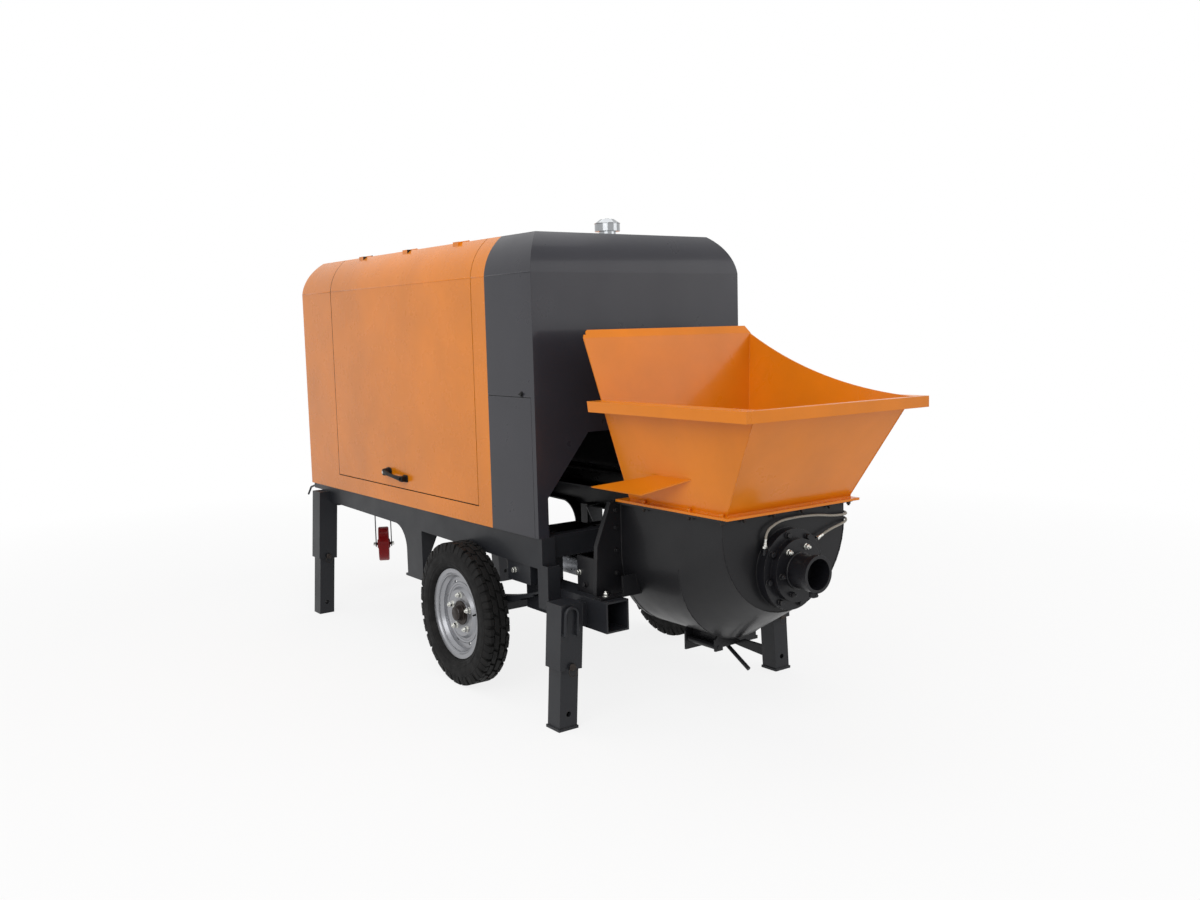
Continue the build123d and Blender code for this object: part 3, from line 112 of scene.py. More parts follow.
def station(x: float, y: float, z: float) -> Vector:
    """A point measured in metres forward from the canopy's rear face, left and up."""
    return Vector((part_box("canopy_rear_shell")[0].x + x, y, z))


def box_middle(node: str) -> Vector:
    """Middle of a CAD node's box."""
    low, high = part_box(node)
    return (low + high) / 2


def canopy_middle() -> Point:
    """A point in the middle of the canopy, which its inner faces look towards."""
    rear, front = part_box("canopy_rear_shell")[0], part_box("canopy_front_shell")[1]
    return ((rear.x + front.x) / 2, 0.0, (rear.z + front.z) / 2)


class NodeSheet:
    """A material's node tree, with short calls for the nodes that the finishes use."""

    def __init__(self, name: str) -> None:
        """Start a node tree.

        Args:
            name: The material's name.
        """
        self.material = bpy.data.materials.new(name)
        self.material.use_nodes = True
        self.tree = self.material.node_tree
        self.shader = self.tree.nodes["Principled BSDF"]
        self.place = self.add("ShaderNodeTexCoord").outputs["Object"]

    def add(self, kind: str) -> bpy.types.Node:
        """Add a node of one kind."""
        return self.tree.nodes.new(kind)

    def put(self, value: object, socket: Socket) -> None:
        """Link an output to a socket, or set the socket's own value.

        Args:
            value: An output socket, a number or a colour.
            socket: The input that takes it.
        """
        if isinstance(value, Socket):
            self.tree.links.new(value, socket)
        else:
            socket.default_value = value

    def noise(self, scale: float, detail: float = 4.0, rough: float = 0.55,
              stretch: Point = (1.0, 1.0, 1.0)) -> Socket:
        """Cloudy noise over the object.

        Args:
            scale: Features per metre.
            detail: Octaves.
            rough: Strength of the fine octaves.
            stretch: Scale along each axis, for streaks.

        Returns:
            The noise value.
        """
        place = self.place
        if stretch != (1.0, 1.0, 1.0):
            mapping = self.add("ShaderNodeMapping")
            self.put(place, mapping.inputs["Vector"])
            mapping.inputs["Scale"].default_value = stretch
            place = mapping.outputs["Vector"]
        node = self.add("ShaderNodeTexNoise")
        self.put(place, node.inputs["Vector"])
        node.inputs["Scale"].default_value = scale
        node.inputs["Detail"].default_value = detail
        node.inputs["Roughness"].default_value = rough
        return node.outputs["Fac"]

    def spread(self, value: Socket, start: float, stop: float, low: float = 0.0,
               high: float = 1.0) -> Socket:
        """Map a value's range to another.

        Args:
            value: What is mapped.
            start: Input that gives low.
            stop: Input that gives high.
            low: Lowest result.
            high: Highest result.

        Returns:
            The mapped value, clamped.
        """
        node = self.add("ShaderNodeMapRange")
        self.put(value, node.inputs["Value"])
        node.inputs["From Min"].default_value = start
        node.inputs["From Max"].default_value = stop
        node.inputs["To Min"].default_value = low
        node.inputs["To Max"].default_value = high
        return node.outputs["Result"]

    def blend(self, share: Socket, first: object, second: object) -> Socket:
        """Mix two colours.

        Args:
            share: How much of the second shows.
            first: Colour or output.
            second: Colour or output.

        Returns:
            The mixed colour.
        """
        node = self.add("ShaderNodeMix")
        node.data_type = "RGBA"
        self.put(share, node.inputs["Factor"])
        self.put(first, node.inputs[6])
        self.put(second, node.inputs[7])
        return node.outputs[2]

    def times(self, first: object, second: object) -> Socket:
        """Multiply two values."""
        node = self.add("ShaderNodeMath")
        node.operation = "MULTIPLY"
        self.put(first, node.inputs[0])
        self.put(second, node.inputs[1])
        return node.outputs[0]

    def vector(self, operation: str, *values: object) -> bpy.types.Node:
        """Add a vector calculation.

        Args:
            operation: What it does with its inputs.
            values: Outputs or constants for the inputs in order.

        Returns:
            The node, with its results.
        """
        node = self.add("ShaderNodeVectorMath")
        node.operation = operation
        for value, socket in zip(values, node.inputs):
            self.put(value, socket)
        return node

    def bump(self, height: Socket, depth: float, under: Socket | None = None) -> Socket:
        """Raise the surface by a height pattern.

        Args:
            height: Pattern from 0 to 1.
            depth: Real depth in metres.
            under: Normal that this one is laid over.

        Returns:
            The new normal.
        """
        node = self.add("ShaderNodeBump")
        node.inputs["Distance"].default_value = depth
        self.put(height, node.inputs["Height"])
        if under is not None:
            self.put(under, node.inputs["Normal"])
        return node.outputs["Normal"]

    def soft_edges(self, radius: float) -> Socket:
        """Normals rounded over sharp edges."""
        node = self.add("ShaderNodeBevel")
        node.samples = 4
        node.inputs["Radius"].default_value = radius
        return node.outputs["Normal"]

    def edge_mask(self, rounded: Socket, low: float = 0.90, high: float = 0.985) -> Socket:
        """Find sharp edges by comparing rounded with true normals.

        Args:
            rounded: Output of soft_edges.
            low: Cosine at which the mask is full.
            high: Cosine at which it is empty.

        Returns:
            One on edges, nought on flat faces.
        """
        true = self.add("ShaderNodeNewGeometry").outputs["Normal"]
        dot = self.vector("DOT_PRODUCT", rounded, true)
        return self.spread(dot.outputs["Value"], low, high, 1.0, 0.0)

    def facing_in(self, centre: Point) -> Socket:
        """Find the faces of a shell that look inwards.

        Args:
            centre: A point inside the shell, in metres.

        Returns:
            One on faces that look towards the centre, nought on those that look away.
        """
        where = self.add("ShaderNodeTexCoord")
        away = self.vector("SUBTRACT", where.outputs["Object"], centre).outputs["Vector"]
        dot = self.vector("DOT_PRODUCT", where.outputs["Normal"], away)
        return self.spread(dot.outputs["Value"], -0.01, 0.0, 1.0, 0.0)

    def near_axis(self, centre: Point, near: float, far: float,
                  across: Point = (1.0, 0.0, 1.0)) -> Socket:
        """Find what is close to an axis.

        Args:
            centre: A point on the axis.
            near: Distance at which the mask is full.
            far: Distance at which it is empty.
            across: One along each direction that counts, nought along the axis.

        Returns:
            One near the axis, nought far from it.
        """
        away = self.vector("SUBTRACT", self.place, centre).outputs["Vector"]
        flat = self.vector("MULTIPLY", away, across).outputs["Vector"]
        length = self.vector("LENGTH", flat)
        return self.spread(length.outputs["Value"], near, far, 1.0, 0.0)


@dataclass(frozen=True)
class SprayedPaint:
    """Sprayed enamel on steel: faint orange peel, slight sheet waviness, dust and rubbed edges."""

    name: str
    slot: str
    colour: Colour
    roughness: float = 0.32
    coat: float = 0.35
    waviness: float = 0.0006
    peel: float = 0.00004
    dust: float = 0.10
    wear: float = 0.25
    wear_colour: Colour = (0.55, 0.53, 0.50)
    edge_radius: float = 0.0025
    inner_colour: Colour | None = None
    grime_radius: float = 0.0
    metallic: float = 0.0
    specular: float = 0.22

    def material(self) -> bpy.types.Material:
        """Build the paint.

        Returns:
            The finished material.
        """
        sheet = NodeSheet(self.name)
        tone = sheet.blend(
            sheet.spread(sheet.noise(2.2, 5.0), 0.3, 0.7), linear(shade(self.colour, 0.95)),
            linear(shade(self.colour, 1.04)),
        )
        dusty = sheet.spread(sheet.noise(7.0, 8.0, 0.65), 0.45, 0.85, 0.0, self.dust)
        tone = sheet.blend(dusty, tone, linear(shade(self.colour, 0.80)))
        rounded = sheet.soft_edges(self.edge_radius)
        patches = sheet.spread(sheet.noise(38.0, 6.0, 0.7), 0.5, 0.68, 0.0, self.wear)
        rubbed = sheet.times(sheet.edge_mask(rounded), patches)
        tone = sheet.blend(rubbed, tone, linear(self.wear_colour))
        if self.inner_colour is not None:
            tone = sheet.blend(sheet.facing_in(canopy_middle()), tone, linear(self.inner_colour))
        if self.grime_radius:
            hub = tuple(box_middle("tyre_left"))
            near = sheet.near_axis(hub, self.grime_radius * 0.45, self.grime_radius)
            patchy = sheet.times(near, sheet.spread(sheet.noise(55.0, 8.0, 0.7), 0.35, 0.60))
            tone = sheet.blend(patchy, tone, linear((0.13, 0.11, 0.10)))
        sheet.put(tone, sheet.shader.inputs["Base Color"])
        clouds = sheet.noise(5.0, 6.0, 0.6)
        rough = sheet.spread(clouds, 0.25, 0.75, self.roughness * 0.8, self.roughness * 1.25)
        sheet.put(rough, sheet.shader.inputs["Roughness"])
        normal = sheet.bump(sheet.noise(1.6, 2.0, 0.4), self.waviness * 4, rounded)
        normal = sheet.bump(sheet.noise(420.0, 2.0, 0.5), self.peel, normal)
        sheet.put(normal, sheet.shader.inputs["Normal"])
        sheet.shader.inputs["Coat Weight"].default_value = self.coat
        sheet.shader.inputs["Coat Roughness"].default_value = 0.12
        sheet.shader.inputs["Specular IOR Level"].default_value = self.specular
        sheet.shader.inputs["Metallic"].default_value = self.metallic
        return sheet.material


@dataclass(frozen=True)
class BareMetal:
    """Unpainted or plated metal with fine scratches and dull patches."""

    name: str
    slot: str
    colour: Colour
    roughness: float = 0.28
    scratch: float = 0.00003
    tarnish: Colour = (0.30, 0.28, 0.26)
    tarnish_share: float = 0.25

    def material(self) -> bpy.types.Material:
        """Build the metal.

        Returns:
            The finished material.
        """
        sheet = NodeSheet(self.name)
        spots = sheet.spread(sheet.noise(26.0, 8.0, 0.7), 0.5, 0.8, 0.0, self.tarnish_share)
        tone = sheet.blend(spots, linear(self.colour), linear(self.tarnish))
        sheet.put(tone, sheet.shader.inputs["Base Color"])
        rough = sheet.spread(sheet.noise(60.0, 6.0), 0.3, 0.7, self.roughness * 0.7, self.roughness * 1.4)
        sheet.put(rough, sheet.shader.inputs["Roughness"])
        sheet.shader.inputs["Metallic"].default_value = 1.0
        rounded = sheet.soft_edges(0.001)
        fine = sheet.noise(300.0, 3.0, 0.6, (1.0, 1.0, 12.0))
        sheet.put(sheet.bump(fine, self.scratch, rounded), sheet.shader.inputs["Normal"])
        return sheet.material


@dataclass(frozen=True)
class MouldedRubber:
    """Rubber, plastic or foam: fine pores, dry dust in patches."""

    name: str
    slot: str
    colour: Colour
    roughness: float = 0.75
    dust_colour: Colour = (0.24, 0.22, 0.20)
    dust: float = 0.35
    grain: float = 0.00012

    def material(self) -> bpy.types.Material:
        """Build the rubber.

        Returns:
            The finished material.
        """
        sheet = NodeSheet(self.name)
        patches = sheet.spread(sheet.noise(14.0, 8.0, 0.7), 0.48, 0.85, 0.0, self.dust)
        tone = sheet.blend(patches, linear(self.colour), linear(self.dust_colour))
        sheet.put(tone, sheet.shader.inputs["Base Color"])
        dullest = min(1.0, self.roughness * 1.15)
        rough = sheet.spread(sheet.noise(30.0, 6.0), 0.3, 0.7, self.roughness * 0.85, dullest)
        sheet.put(rough, sheet.shader.inputs["Roughness"])
        normal = sheet.bump(sheet.noise(700.0, 3.0, 0.6), self.grain, sheet.soft_edges(0.0015))
        sheet.put(normal, sheet.shader.inputs["Normal"])
        sheet.shader.inputs["Specular IOR Level"].default_value = 0.2
        return sheet.material


INSULATION_BLACK = (0.075, 0.072, 0.070)
ORANGE = SprayedPaint("housing_orange", "housing_paint", (0.875, 0.500, 0.050), roughness=0.27, coat=0.25,
                      dust=0.03, wear=0.10, inner_colour=INSULATION_BLACK)
HOPPER_ORANGE = SprayedPaint("hopper_orange", "housing_paint", (0.870, 0.490, 0.045), roughness=0.30,
                             coat=0.20, wear=0.35, wear_colour=(0.78, 0.72, 0.62), dust=0.08)
DARK_GREY = SprayedPaint("canopy_grey", "grey_paint", (0.175, 0.175, 0.200), roughness=0.30, coat=0.18,
                         wear=0.08, inner_colour=INSULATION_BLACK)
CHASSIS_GREY = SprayedPaint("chassis_grey", "chassis_paint", (0.135, 0.140, 0.155), roughness=0.42, coat=0.08,
                            wear=0.30)
TUB_BLACK = SprayedPaint("tub_black", "tub_paint", (0.085, 0.085, 0.095), roughness=0.40, coat=0.08,
                         wear=0.22)
CAST_BLACK = SprayedPaint("cast_black", "cast_black", (0.085, 0.085, 0.100), roughness=0.36, coat=0.10,
                          peel=0.0002, wear=0.35)
RIM_SILVER = SprayedPaint("rim_silver", "rim_paint", (0.60, 0.605, 0.62), roughness=0.30, coat=0.1, dust=0.25,
                          wear=0.2, wear_colour=(0.35, 0.33, 0.31), grime_radius=0.075, metallic=0.65)
CASTER_RED = SprayedPaint("caster_red", "caster_red", (0.56, 0.03, 0.05), roughness=0.45, coat=0.1, wear=0.3,
                          wear_colour=(0.30, 0.10, 0.10))
BLACK_PLASTIC = MouldedRubber("black_plastic", "handle_black", (0.055, 0.055, 0.058), roughness=0.5,
                              dust=0.15)
INSULATION_FOAM = MouldedRubber("insulation_foam", "handle_black", (0.085, 0.083, 0.085), roughness=0.95,
                                dust=0.25, grain=0.0006)
TYRE_RUBBER = MouldedRubber("tyre_rubber", "wheel_tyre", (0.060, 0.058, 0.058), roughness=0.72,
                           dust_colour=(0.15, 0.14, 0.13))
HOSE_RUBBER = MouldedRubber("hose_rubber", "hose_rubber", (0.60, 0.58, 0.54), roughness=0.45, dust=0.2,
                            dust_colour=(0.4, 0.38, 0.34))
BRIGHT_ZINC = BareMetal("bright_zinc", "bright_metal", (0.80, 0.80, 0.78), roughness=0.26)
CHROME = BareMetal("cap_chrome", "bright_metal", (0.62, 0.63, 0.64), roughness=0.14, tarnish_share=0.35)
TURNED_STEEL = BareMetal("turned_steel", "machined_steel", (0.52, 0.53, 0.55), roughness=0.30)
GREASY_STEEL = BareMetal("greasy_steel", "machined_steel", (0.24, 0.22, 0.21), roughness=0.42,
                         tarnish=(0.07, 0.06, 0.05), tarnish_share=0.8)
FIN_METAL = BareMetal("fin_metal", "machined_steel", (0.30, 0.31, 0.32), roughness=0.5)

Finish = SprayedPaint | BareMetal | MouldedRubber

NODE_FINISHES: dict[str, Finish] = {
    "canopy_front_shell": ORANGE,
    "door": ORANGE,
    "hopper_funnel": HOPPER_ORANGE,
    "canopy_rear_shell": DARK_GREY,
    "service_panel": DARK_GREY,
    "door_handle": BLACK_PLASTIC,
    "roof_cap": CHROME,
    "hopper_tub": TUB_BLACK,
    "tub_bulkhead": TUB_BLACK,
    "cleanout_door": TUB_BLACK,
    "outlet_flange": CAST_BLACK,
    "outlet_pipe": CAST_BLACK,
    "transfer_tube": CAST_BLACK,
    "rim": RIM_SILVER,
    "tyre": TYRE_RUBBER,
    "jockey_wheel": CASTER_RED,
    "concrete_cylinder": TURNED_STEEL,
    "hydraulic_ram": CHASSIS_GREY,
    "grease_hose": HOSE_RUBBER,
}

made_materials: dict[str, bpy.types.Material] = {}


def material_of(finish: Finish) -> bpy.types.Material:
    """The finish's material, made once.

    Args:
        finish: One of the finishes above.

    Returns:
        Its material.
    """
    if finish.name not in made_materials:
        made_materials[finish.name] = finish.material()
    return made_materials[finish.name]


def finish_for(node: str) -> Finish:
    """The finish of a CAD node, by the longest name it starts with.

    Args:
        node: The node's name.

    Returns:
        The finish, or the chassis paint.
    """
    hits = [key for key in NODE_FINISHES if node.startswith(key)]
    return NODE_FINISHES[max(hits, key=len)] if hits else CHASSIS_GREY


def dress_nodes() -> None:
    """Give every CAD node its own finish."""
    for name, node in frame["nodes"].items():
        node.data.materials.clear()
        node.data.materials.append(material_of(finish_for(name)))
        log.info("dressed %s", name)


FORWARD = Vector((1.0, 0.0, 0.0))
REARWARD = Vector((-1.0, 0.0, 0.0))
UP = Vector((0.0, 0.0, 1.0))
DOWN = Vector((0.0, 0.0, -1.0))


def sideways(side: int) -> Vector:
    """The direction out of the machine's left (1) or right (-1) side."""
    return Vector((0.0, float(side), 0.0))


def frame_at(place: Vector, outward: Vector, upright: Vector = UP) -> Matrix:
    """A local frame on a surface.

    Args:
        place: Its origin.
        outward: Direction of its Z.
        upright: Direction that its Y leans to.

    Returns:
        The frame as a matrix.
    """
    z = outward.normalized()
    y = upright - z * upright.dot(z)
    if y.length < 1e-4:
        y = FORWARD - z * z.x
    y.normalize()
    return Matrix.Translation(place) @ Matrix((y.cross(z), y, z)).transposed().to_4x4()


def around(radius: float, count: int, start: float = 0.0) -> list[tuple[float, float]]:
    """Points spaced evenly on a circle, the first at an angle in degrees."""
    angles = [radians(start) + tau * i / count for i in range(count)]
    return [(radius * cos(a), radius * sin(a)) for a in angles]


def rounded_rectangle(width: float, height: float, radius: float,
                      steps: int = 3) -> list[tuple[float, float]]:
    """Outline of a rectangle with round corners about the origin.

    Args:
        width: Size along local X.
        height: Size along local Y.
        radius: Corner radius.
        steps: Straight pieces a corner.

    Returns:
        Points in order.
    """
    points = []
    for turn, (sx, sy) in enumerate(((1, 1), (-1, 1), (-1, -1), (1, -1))):
        cx, cy = sx * (width / 2 - radius), sy * (height / 2 - radius)
        for i in range(steps + 1):
            a = pi / 2 * (turn + i / steps)
            points.append((cx + radius * cos(a), cy + radius * sin(a)))
    return points


class Mould:
    """A mesh that grows form by form, in the frame's own metres."""

    def __init__(self) -> None:
        """Start with nothing."""
        self.mesh = bmesh.new()

    def skin(self, rings: Sequence[Sequence[Vector]], endless: bool = False) -> None:
        """Join a row of rings, and close its ends unless it meets itself.

        Args:
            rings: Loops of points, all of one count.
            endless: Whether the last ring joins the first.
        """
        rows = [[self.mesh.verts.new(point) for point in ring] for ring in rings]
        pairs = list(zip(rows, rows[1:]))
        if endless:
            pairs.append((rows[-1], rows[0]))
        count = len(rows[0])
        for lower, upper in pairs:
            for i in range(count):
                j = (i + 1) % count
                self.mesh.faces.new((lower[i], lower[j], upper[j], upper[i]))
        if not endless:
            self.mesh.faces.new(rows[0][::-1])
            self.mesh.faces.new(rows[-1])

    def turned(self, at: Matrix, profile: Outline, steps: int = 28, endless: bool = False) -> None:
        """Turn a profile about a frame's Z.

        Args:
            at: The frame.
            profile: Radius and height, point by point.
            steps: Points round the circle.
            endless: Whether the profile closes on itself.
        """
        self.skin([[at @ Vector((x, y, h)) for x, y in around(r, steps)] for r, h in profile], endless)

    def slab(self, at: Matrix, outline: Outline, low: float, high: float, chamfer: float = 0.0) -> None:
        """Raise a flat outline into a plate with a chamfered top.

        Args:
            at: The outline's frame.
            outline: Points in local X and Y.
            low: Height of the underside.
            high: Height of the top.
            chamfer: Width of the chamfer.
        """
        reach = max(max(abs(x), abs(y)) for x, y in outline)
        share = 1.0 - chamfer / reach
        rings = [(low, 1.0), (high - chamfer, 1.0)] + ([(high, share)] if chamfer else [])
        self.skin([[at @ Vector((x * s, y * s, h)) for x, y in outline] for h, s in rings])

    def bar(self, path: Sequence[Vector], radius: float | Sequence[float], steps: int = 10,
            flat: float = 1.0, endless: bool = False) -> None:
        """A round or oval bar along a path.

        Args:
            path: Points along its middle.
            radius: One radius, or one for each point.
            steps: Points round the bar.
            flat: Height of the section as a share of its width.
            endless: Whether the path meets itself.
        """
        radii = [radius] * len(path) if isinstance(radius, float) else radius
        rings = []
        side = None
        for i, point in enumerate(path):
            before = path[i - 1] if i or endless else point
            after = path[(i + 1) % len(path)] if i + 1 < len(path) or endless else point
            run = (after - before).normalized()
            if side is None:
                side = run.orthogonal()
            side = (side - run * side.dot(run)).normalized()
            up = run.cross(side)
            rings.append([point + (side * x + up * y * flat) for x, y in around(radii[i], steps)])
        self.skin(rings, endless)

    def weld(self, path: Sequence[Vector], radius: float = 0.003, ripple: float = 0.006) -> None:
        """A weld bead with its ripples along straight runs.

        Args:
            path: Corner points of the seam.
            radius: Half width of the bead.
            ripple: Length of one ripple.
        """
        points, radii = [], []
        for start, stop in zip(path, path[1:]):
            count = max(2, int((stop - start).length / ripple))
            for i in range(count):
                points.append(start.lerp(stop, i / count))
                radii.append(radius * (0.82 if i % 2 else 1.0))
        points.append(path[-1])
        radii.append(radius * 0.8)
        self.bar(points, radii, 6)

    def ring_weld(self, at: Matrix, radius: float, width: float = 0.003) -> None:
        """A weld bead round a pipe.

        Args:
            at: Frame on the pipe's axis, in the seam's plane.
            radius: The seam's radius.
            width: Half width of the bead.
        """
        count = 2 * max(12, int(tau * radius / 0.012))
        path = [at @ Vector((x, y, 0.0)) for x, y in around(radius, count)]
        self.bar(path, [width * (0.82 if i % 2 else 1.0) for i in range(count)], 6, endless=True)

    def bolt(self, at: Matrix, across: float, height: float | None = None, stud: float = 0.0) -> None:
        """A washer and a chamfered hexagon, with a threaded stud through a nut.

        Args:
            at: Frame on the surface, Z outwards.
            across: Size across the flats.
            height: Height of the head or nut.
            stud: How far a thread stands past it.
        """
        height = height or across * 0.62
        corner = across / 2 / cos(pi / 6)
        rim = across * 0.11
        self.turned(at, [(corner * 1.12, 0.0), (corner * 1.12, rim * 0.8), (corner * 1.06, rim)], 24)
        outline = around(corner, 6, 17.0)
        rings = [(rim, 0.97), (rim + 0.0006, 1.0), (rim + height * 0.86, 1.0), (rim + height, 0.88)]
        self.skin([[at @ Vector((x * s, y * s, h)) for x, y in outline] for h, s in rings])
        if stud:
            thread, pitch = across * 0.31, across * 0.085
            top, count = rim + height, max(2, int(stud / (across * 0.085)))
            profile = [(thread, top - 0.001)]
            for i in range(count):
                profile += [(thread, top + pitch * (i + 0.3)), (thread * 0.88, top + pitch * (i + 0.8))]
            self.turned(at, profile + [(thread * 0.8, top + pitch * count)], 14)

    def place(self, name: str, finish: Finish, body: str, sharp: float = 32.0) -> bpy.types.Object:
        """Close the mesh and make it a piece that rides on a body.

        Args:
            name: The piece's name.
            finish: What it is made of.
            body: The CAD body that carries it.
            sharp: Edges above this angle in degrees stay sharp.

        Returns:
            The piece.
        """
        bmesh.ops.recalc_face_normals(self.mesh, faces=self.mesh.faces)
        data = bpy.data.meshes.new(name)
        self.mesh.to_mesh(data)
        self.mesh.free()
        data.polygons.foreach_set("use_smooth", [True] * len(data.polygons))
        data.set_sharp_from_angle(angle=radians(sharp))
        data.materials.append(material_of(finish))
        piece = bpy.data.objects.new(name, data)
        bpy.context.scene.collection.objects.link(piece)
        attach(piece, body)
        log.info("made %s on %s, %d faces", name, body, len(data.polygons))
        return piece


def mirrored(outline: Outline, sign: int) -> list[tuple[float, float]]:
    """Distances across the tread taken to its outer (1) or inner (-1) side, with their radii."""
    return [(sign * w, r) for w, r in outline]


@dataclass
class RoadWheel:
    """One road wheel: lugged tyre, nuts, greasy dust cap and valve, on the CAD rim."""

    side: Side
    lugs: int = 26
    lug_gap: float = 0.016
    slant: float = 1.6
    nut_circle: float = 0.088
    nut_count: int = 5
    nut_across: float = 0.024
    nut_seat: float = 0.0132
    valve_circle: float = 0.152
    valve_angle: float = 8.0
    valve_lean: float = 16.0

    def __post_init__(self) -> None:
        """Find the wheel's middle and radius in the frame."""
        word = self.side.word
        low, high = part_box(f"tyre_{word}")
        self.radius = (high.z - low.z) / 2
        self.pitch = tau / self.lugs
        self.at = frame_at((low + high) / 2, sideways(self.side.value))

    def build(self) -> None:
        """Make the tyre and what is bolted to the rim."""
        self.build_tyre()
        self.build_nuts()
        self.build_rings()
        self.build_cap_and_valve()

    def point(self, angle: float, radius: float, outward: float) -> Vector:
        """A point by angle, radius and distance outwards from the wheel's middle."""
        return self.at @ Vector((radius * cos(angle), radius * sin(angle), outward))

    def carcass(self) -> list[tuple[float, float]]:
        """Section of the tyre without its lugs, as radius and distance outwards.

        Returns:
            A closed outline.
        """
        half = [
            (0.2036, 0.0340), (0.2190, 0.0357), (0.2222, 0.0405), (0.2250, 0.0470), (0.2290, 0.0540),
            (0.2345, 0.0584), (0.2375, 0.0592), (0.2400, 0.0588), (0.2480, 0.0610), (0.2495, 0.0624),
            (0.2525, 0.0624), (0.2540, 0.0612), (0.2700, 0.0628), (0.2850, 0.0622), (0.2960, 0.0606),
            (0.2975, 0.0616), (0.3000, 0.0612), (0.3015, 0.0596), (0.3140, 0.0560), (0.3240, 0.0520),
            (0.3300, 0.0470), (0.3328, 0.0400), (0.3334, 0.0200),
        ]
        return half + [(r, -w) for r, w in reversed(half)]

    def lug(self, mould: Mould, middle: float, reach: float, top: Outline,
            base: Outline, slant: float = 0.0) -> None:
        """One rubber block with drafted ends.

        Args:
            mould: The mesh that grows.
            middle: Angle of its middle.
            reach: Half its length, as an angle.
            top: Outward distance and radius along its upper face.
            base: The same along its root, in the opposite order.
            slant: Angle gained per metre outwards.
        """
        draft = 0.004
        rings = []
        for share in (-1.0, -0.5, 0.0, 0.5, 1.0):
            upper = [self.point(middle + share * (reach - draft) + slant * w, r, w) for w, r in top]
            lower = [self.point(middle + share * reach + slant * w, r, w) for w, r in base]
            rings.append(upper + lower)
        mould.skin(rings)

    def build_tyre(self) -> None:
        """Turn the carcass and set its shoulder lugs and centre blocks on it."""
        mould = Mould()
        mould.turned(self.at, self.carcass(), self.lugs * 6, endless=True)
        r = self.radius
        shoulder = [(0.0320, r), (0.0490, r), (0.0512, r - 0.0025), (0.0564, r - 0.0180),
                    (0.0592, r - 0.0300), (0.0606, r - 0.0400)]
        root = [(0.0585, r - 0.0430), (0.0560, r - 0.0320), (0.0500, r - 0.0170), (0.0460, r - 0.0130),
                (0.0320, r - 0.0120)]
        bridge = [(w, rr - 0.0035) for w, rr in shoulder]
        block = [(0.0045, r - 0.0015), (0.0060, r), (0.0265, r), (0.0280, r - 0.0015)]
        block_root = [(0.0290, r - 0.0120), (0.0035, r - 0.0120)]
        reach = (self.pitch - self.lug_gap / r) / 2
        for i in range(self.lugs):
            for sign, shift in ((1, 0.5), (-1, 1.0)):
                middle = self.pitch * (i + shift)
                under = mirrored(root, sign)
                for half in (-0.53, 0.53):
                    self.lug(mould, middle + reach * half, reach * 0.47, mirrored(shoulder, sign), under)
                self.lug(mould, middle, reach * 0.10, mirrored(bridge, sign), under)
                crown, foot = mirrored(block, sign), mirrored(block_root, sign)
                self.lug(mould, middle + self.pitch * 0.5, self.pitch * 0.43, crown, foot, self.slant)
        word = self.side.word
        tyre = mould.place(f"lugged_tyre_{word}", TYRE_RUBBER, f"wheel_{word}", 24.0)
        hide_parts(f"tyre_{word}")

    def build_nuts(self) -> None:
        """Five wheel nuts on their studs."""
        mould = Mould()
        for x, y in around(self.nut_circle, self.nut_count, 90.0):
            seat = self.at @ Matrix.Translation((x, y, self.nut_seat - 0.001))
            mould.turned(seat, [(0.0185, -0.002), (0.0185, 0.0012), (0.0165, 0.0026)], 24)
            mould.bolt(seat @ Matrix.Translation((0.0, 0.0, 0.002)), self.nut_across, 0.015, 0.009)
        mould.place(f"wheel_nuts_{self.side.word}", BRIGHT_ZINC, f"wheel_{self.side.word}")

    def build_rings(self) -> None:
        """Pressed steps that run round the rim's well and its disc."""
        mould = Mould()
        mould.turned(self.at, [(0.1925, 0.0338), (0.1892, 0.0338), (0.1874, 0.0325), (0.1868, 0.0295),
                               (0.1862, 0.0270), (0.1842, 0.0252), (0.1856, 0.0244)], 96, endless=True)
        mould.turned(self.at, [(0.1500, 0.0030), (0.1488, 0.0062), (0.1455, 0.0084), (0.1410, 0.0090),
                               (0.1368, 0.0078), (0.1345, 0.0058), (0.1335, 0.0030)], 96, endless=True)
        mould.place(f"rim_rings_{self.side.word}", RIM_SILVER, f"wheel_{self.side.word}")

    def build_cap_and_valve(self) -> None:
        """Dust cap over the bearing, hub ring and the valve in the disc."""
        mould = Mould()
        mould.turned(self.at, [(0.0590, 0.0110), (0.0590, 0.0155), (0.0570, 0.0175), (0.0400, 0.0180),
                               (0.0372, 0.0205), (0.0372, 0.0260), (0.0356, 0.0270), (0.0356, 0.0400),
                               (0.0330, 0.0450), (0.0270, 0.0478), (0.0120, 0.0486)], 40)
        mould.place(f"dust_cap_{self.side.word}", GREASY_STEEL, f"wheel_{self.side.word}")
        valve = Mould()
        turn = radians(self.valve_angle)
        place = (self.valve_circle * cos(turn), self.valve_circle * sin(turn), 0.003)
        stem = self.at @ Matrix.Translation(place) @ Matrix.Rotation(radians(self.valve_lean), 4, "Y")
        valve.turned(stem, [(0.0085, -0.001), (0.0085, 0.003), (0.0055, 0.006), (0.0048, 0.026),
                            (0.0040, 0.027), (0.0042, 0.028), (0.0042, 0.037), (0.0030, 0.038)], 16)
        valve.place(f"tyre_valve_{self.side.word}", BLACK_PLASTIC, f"wheel_{self.side.word}")


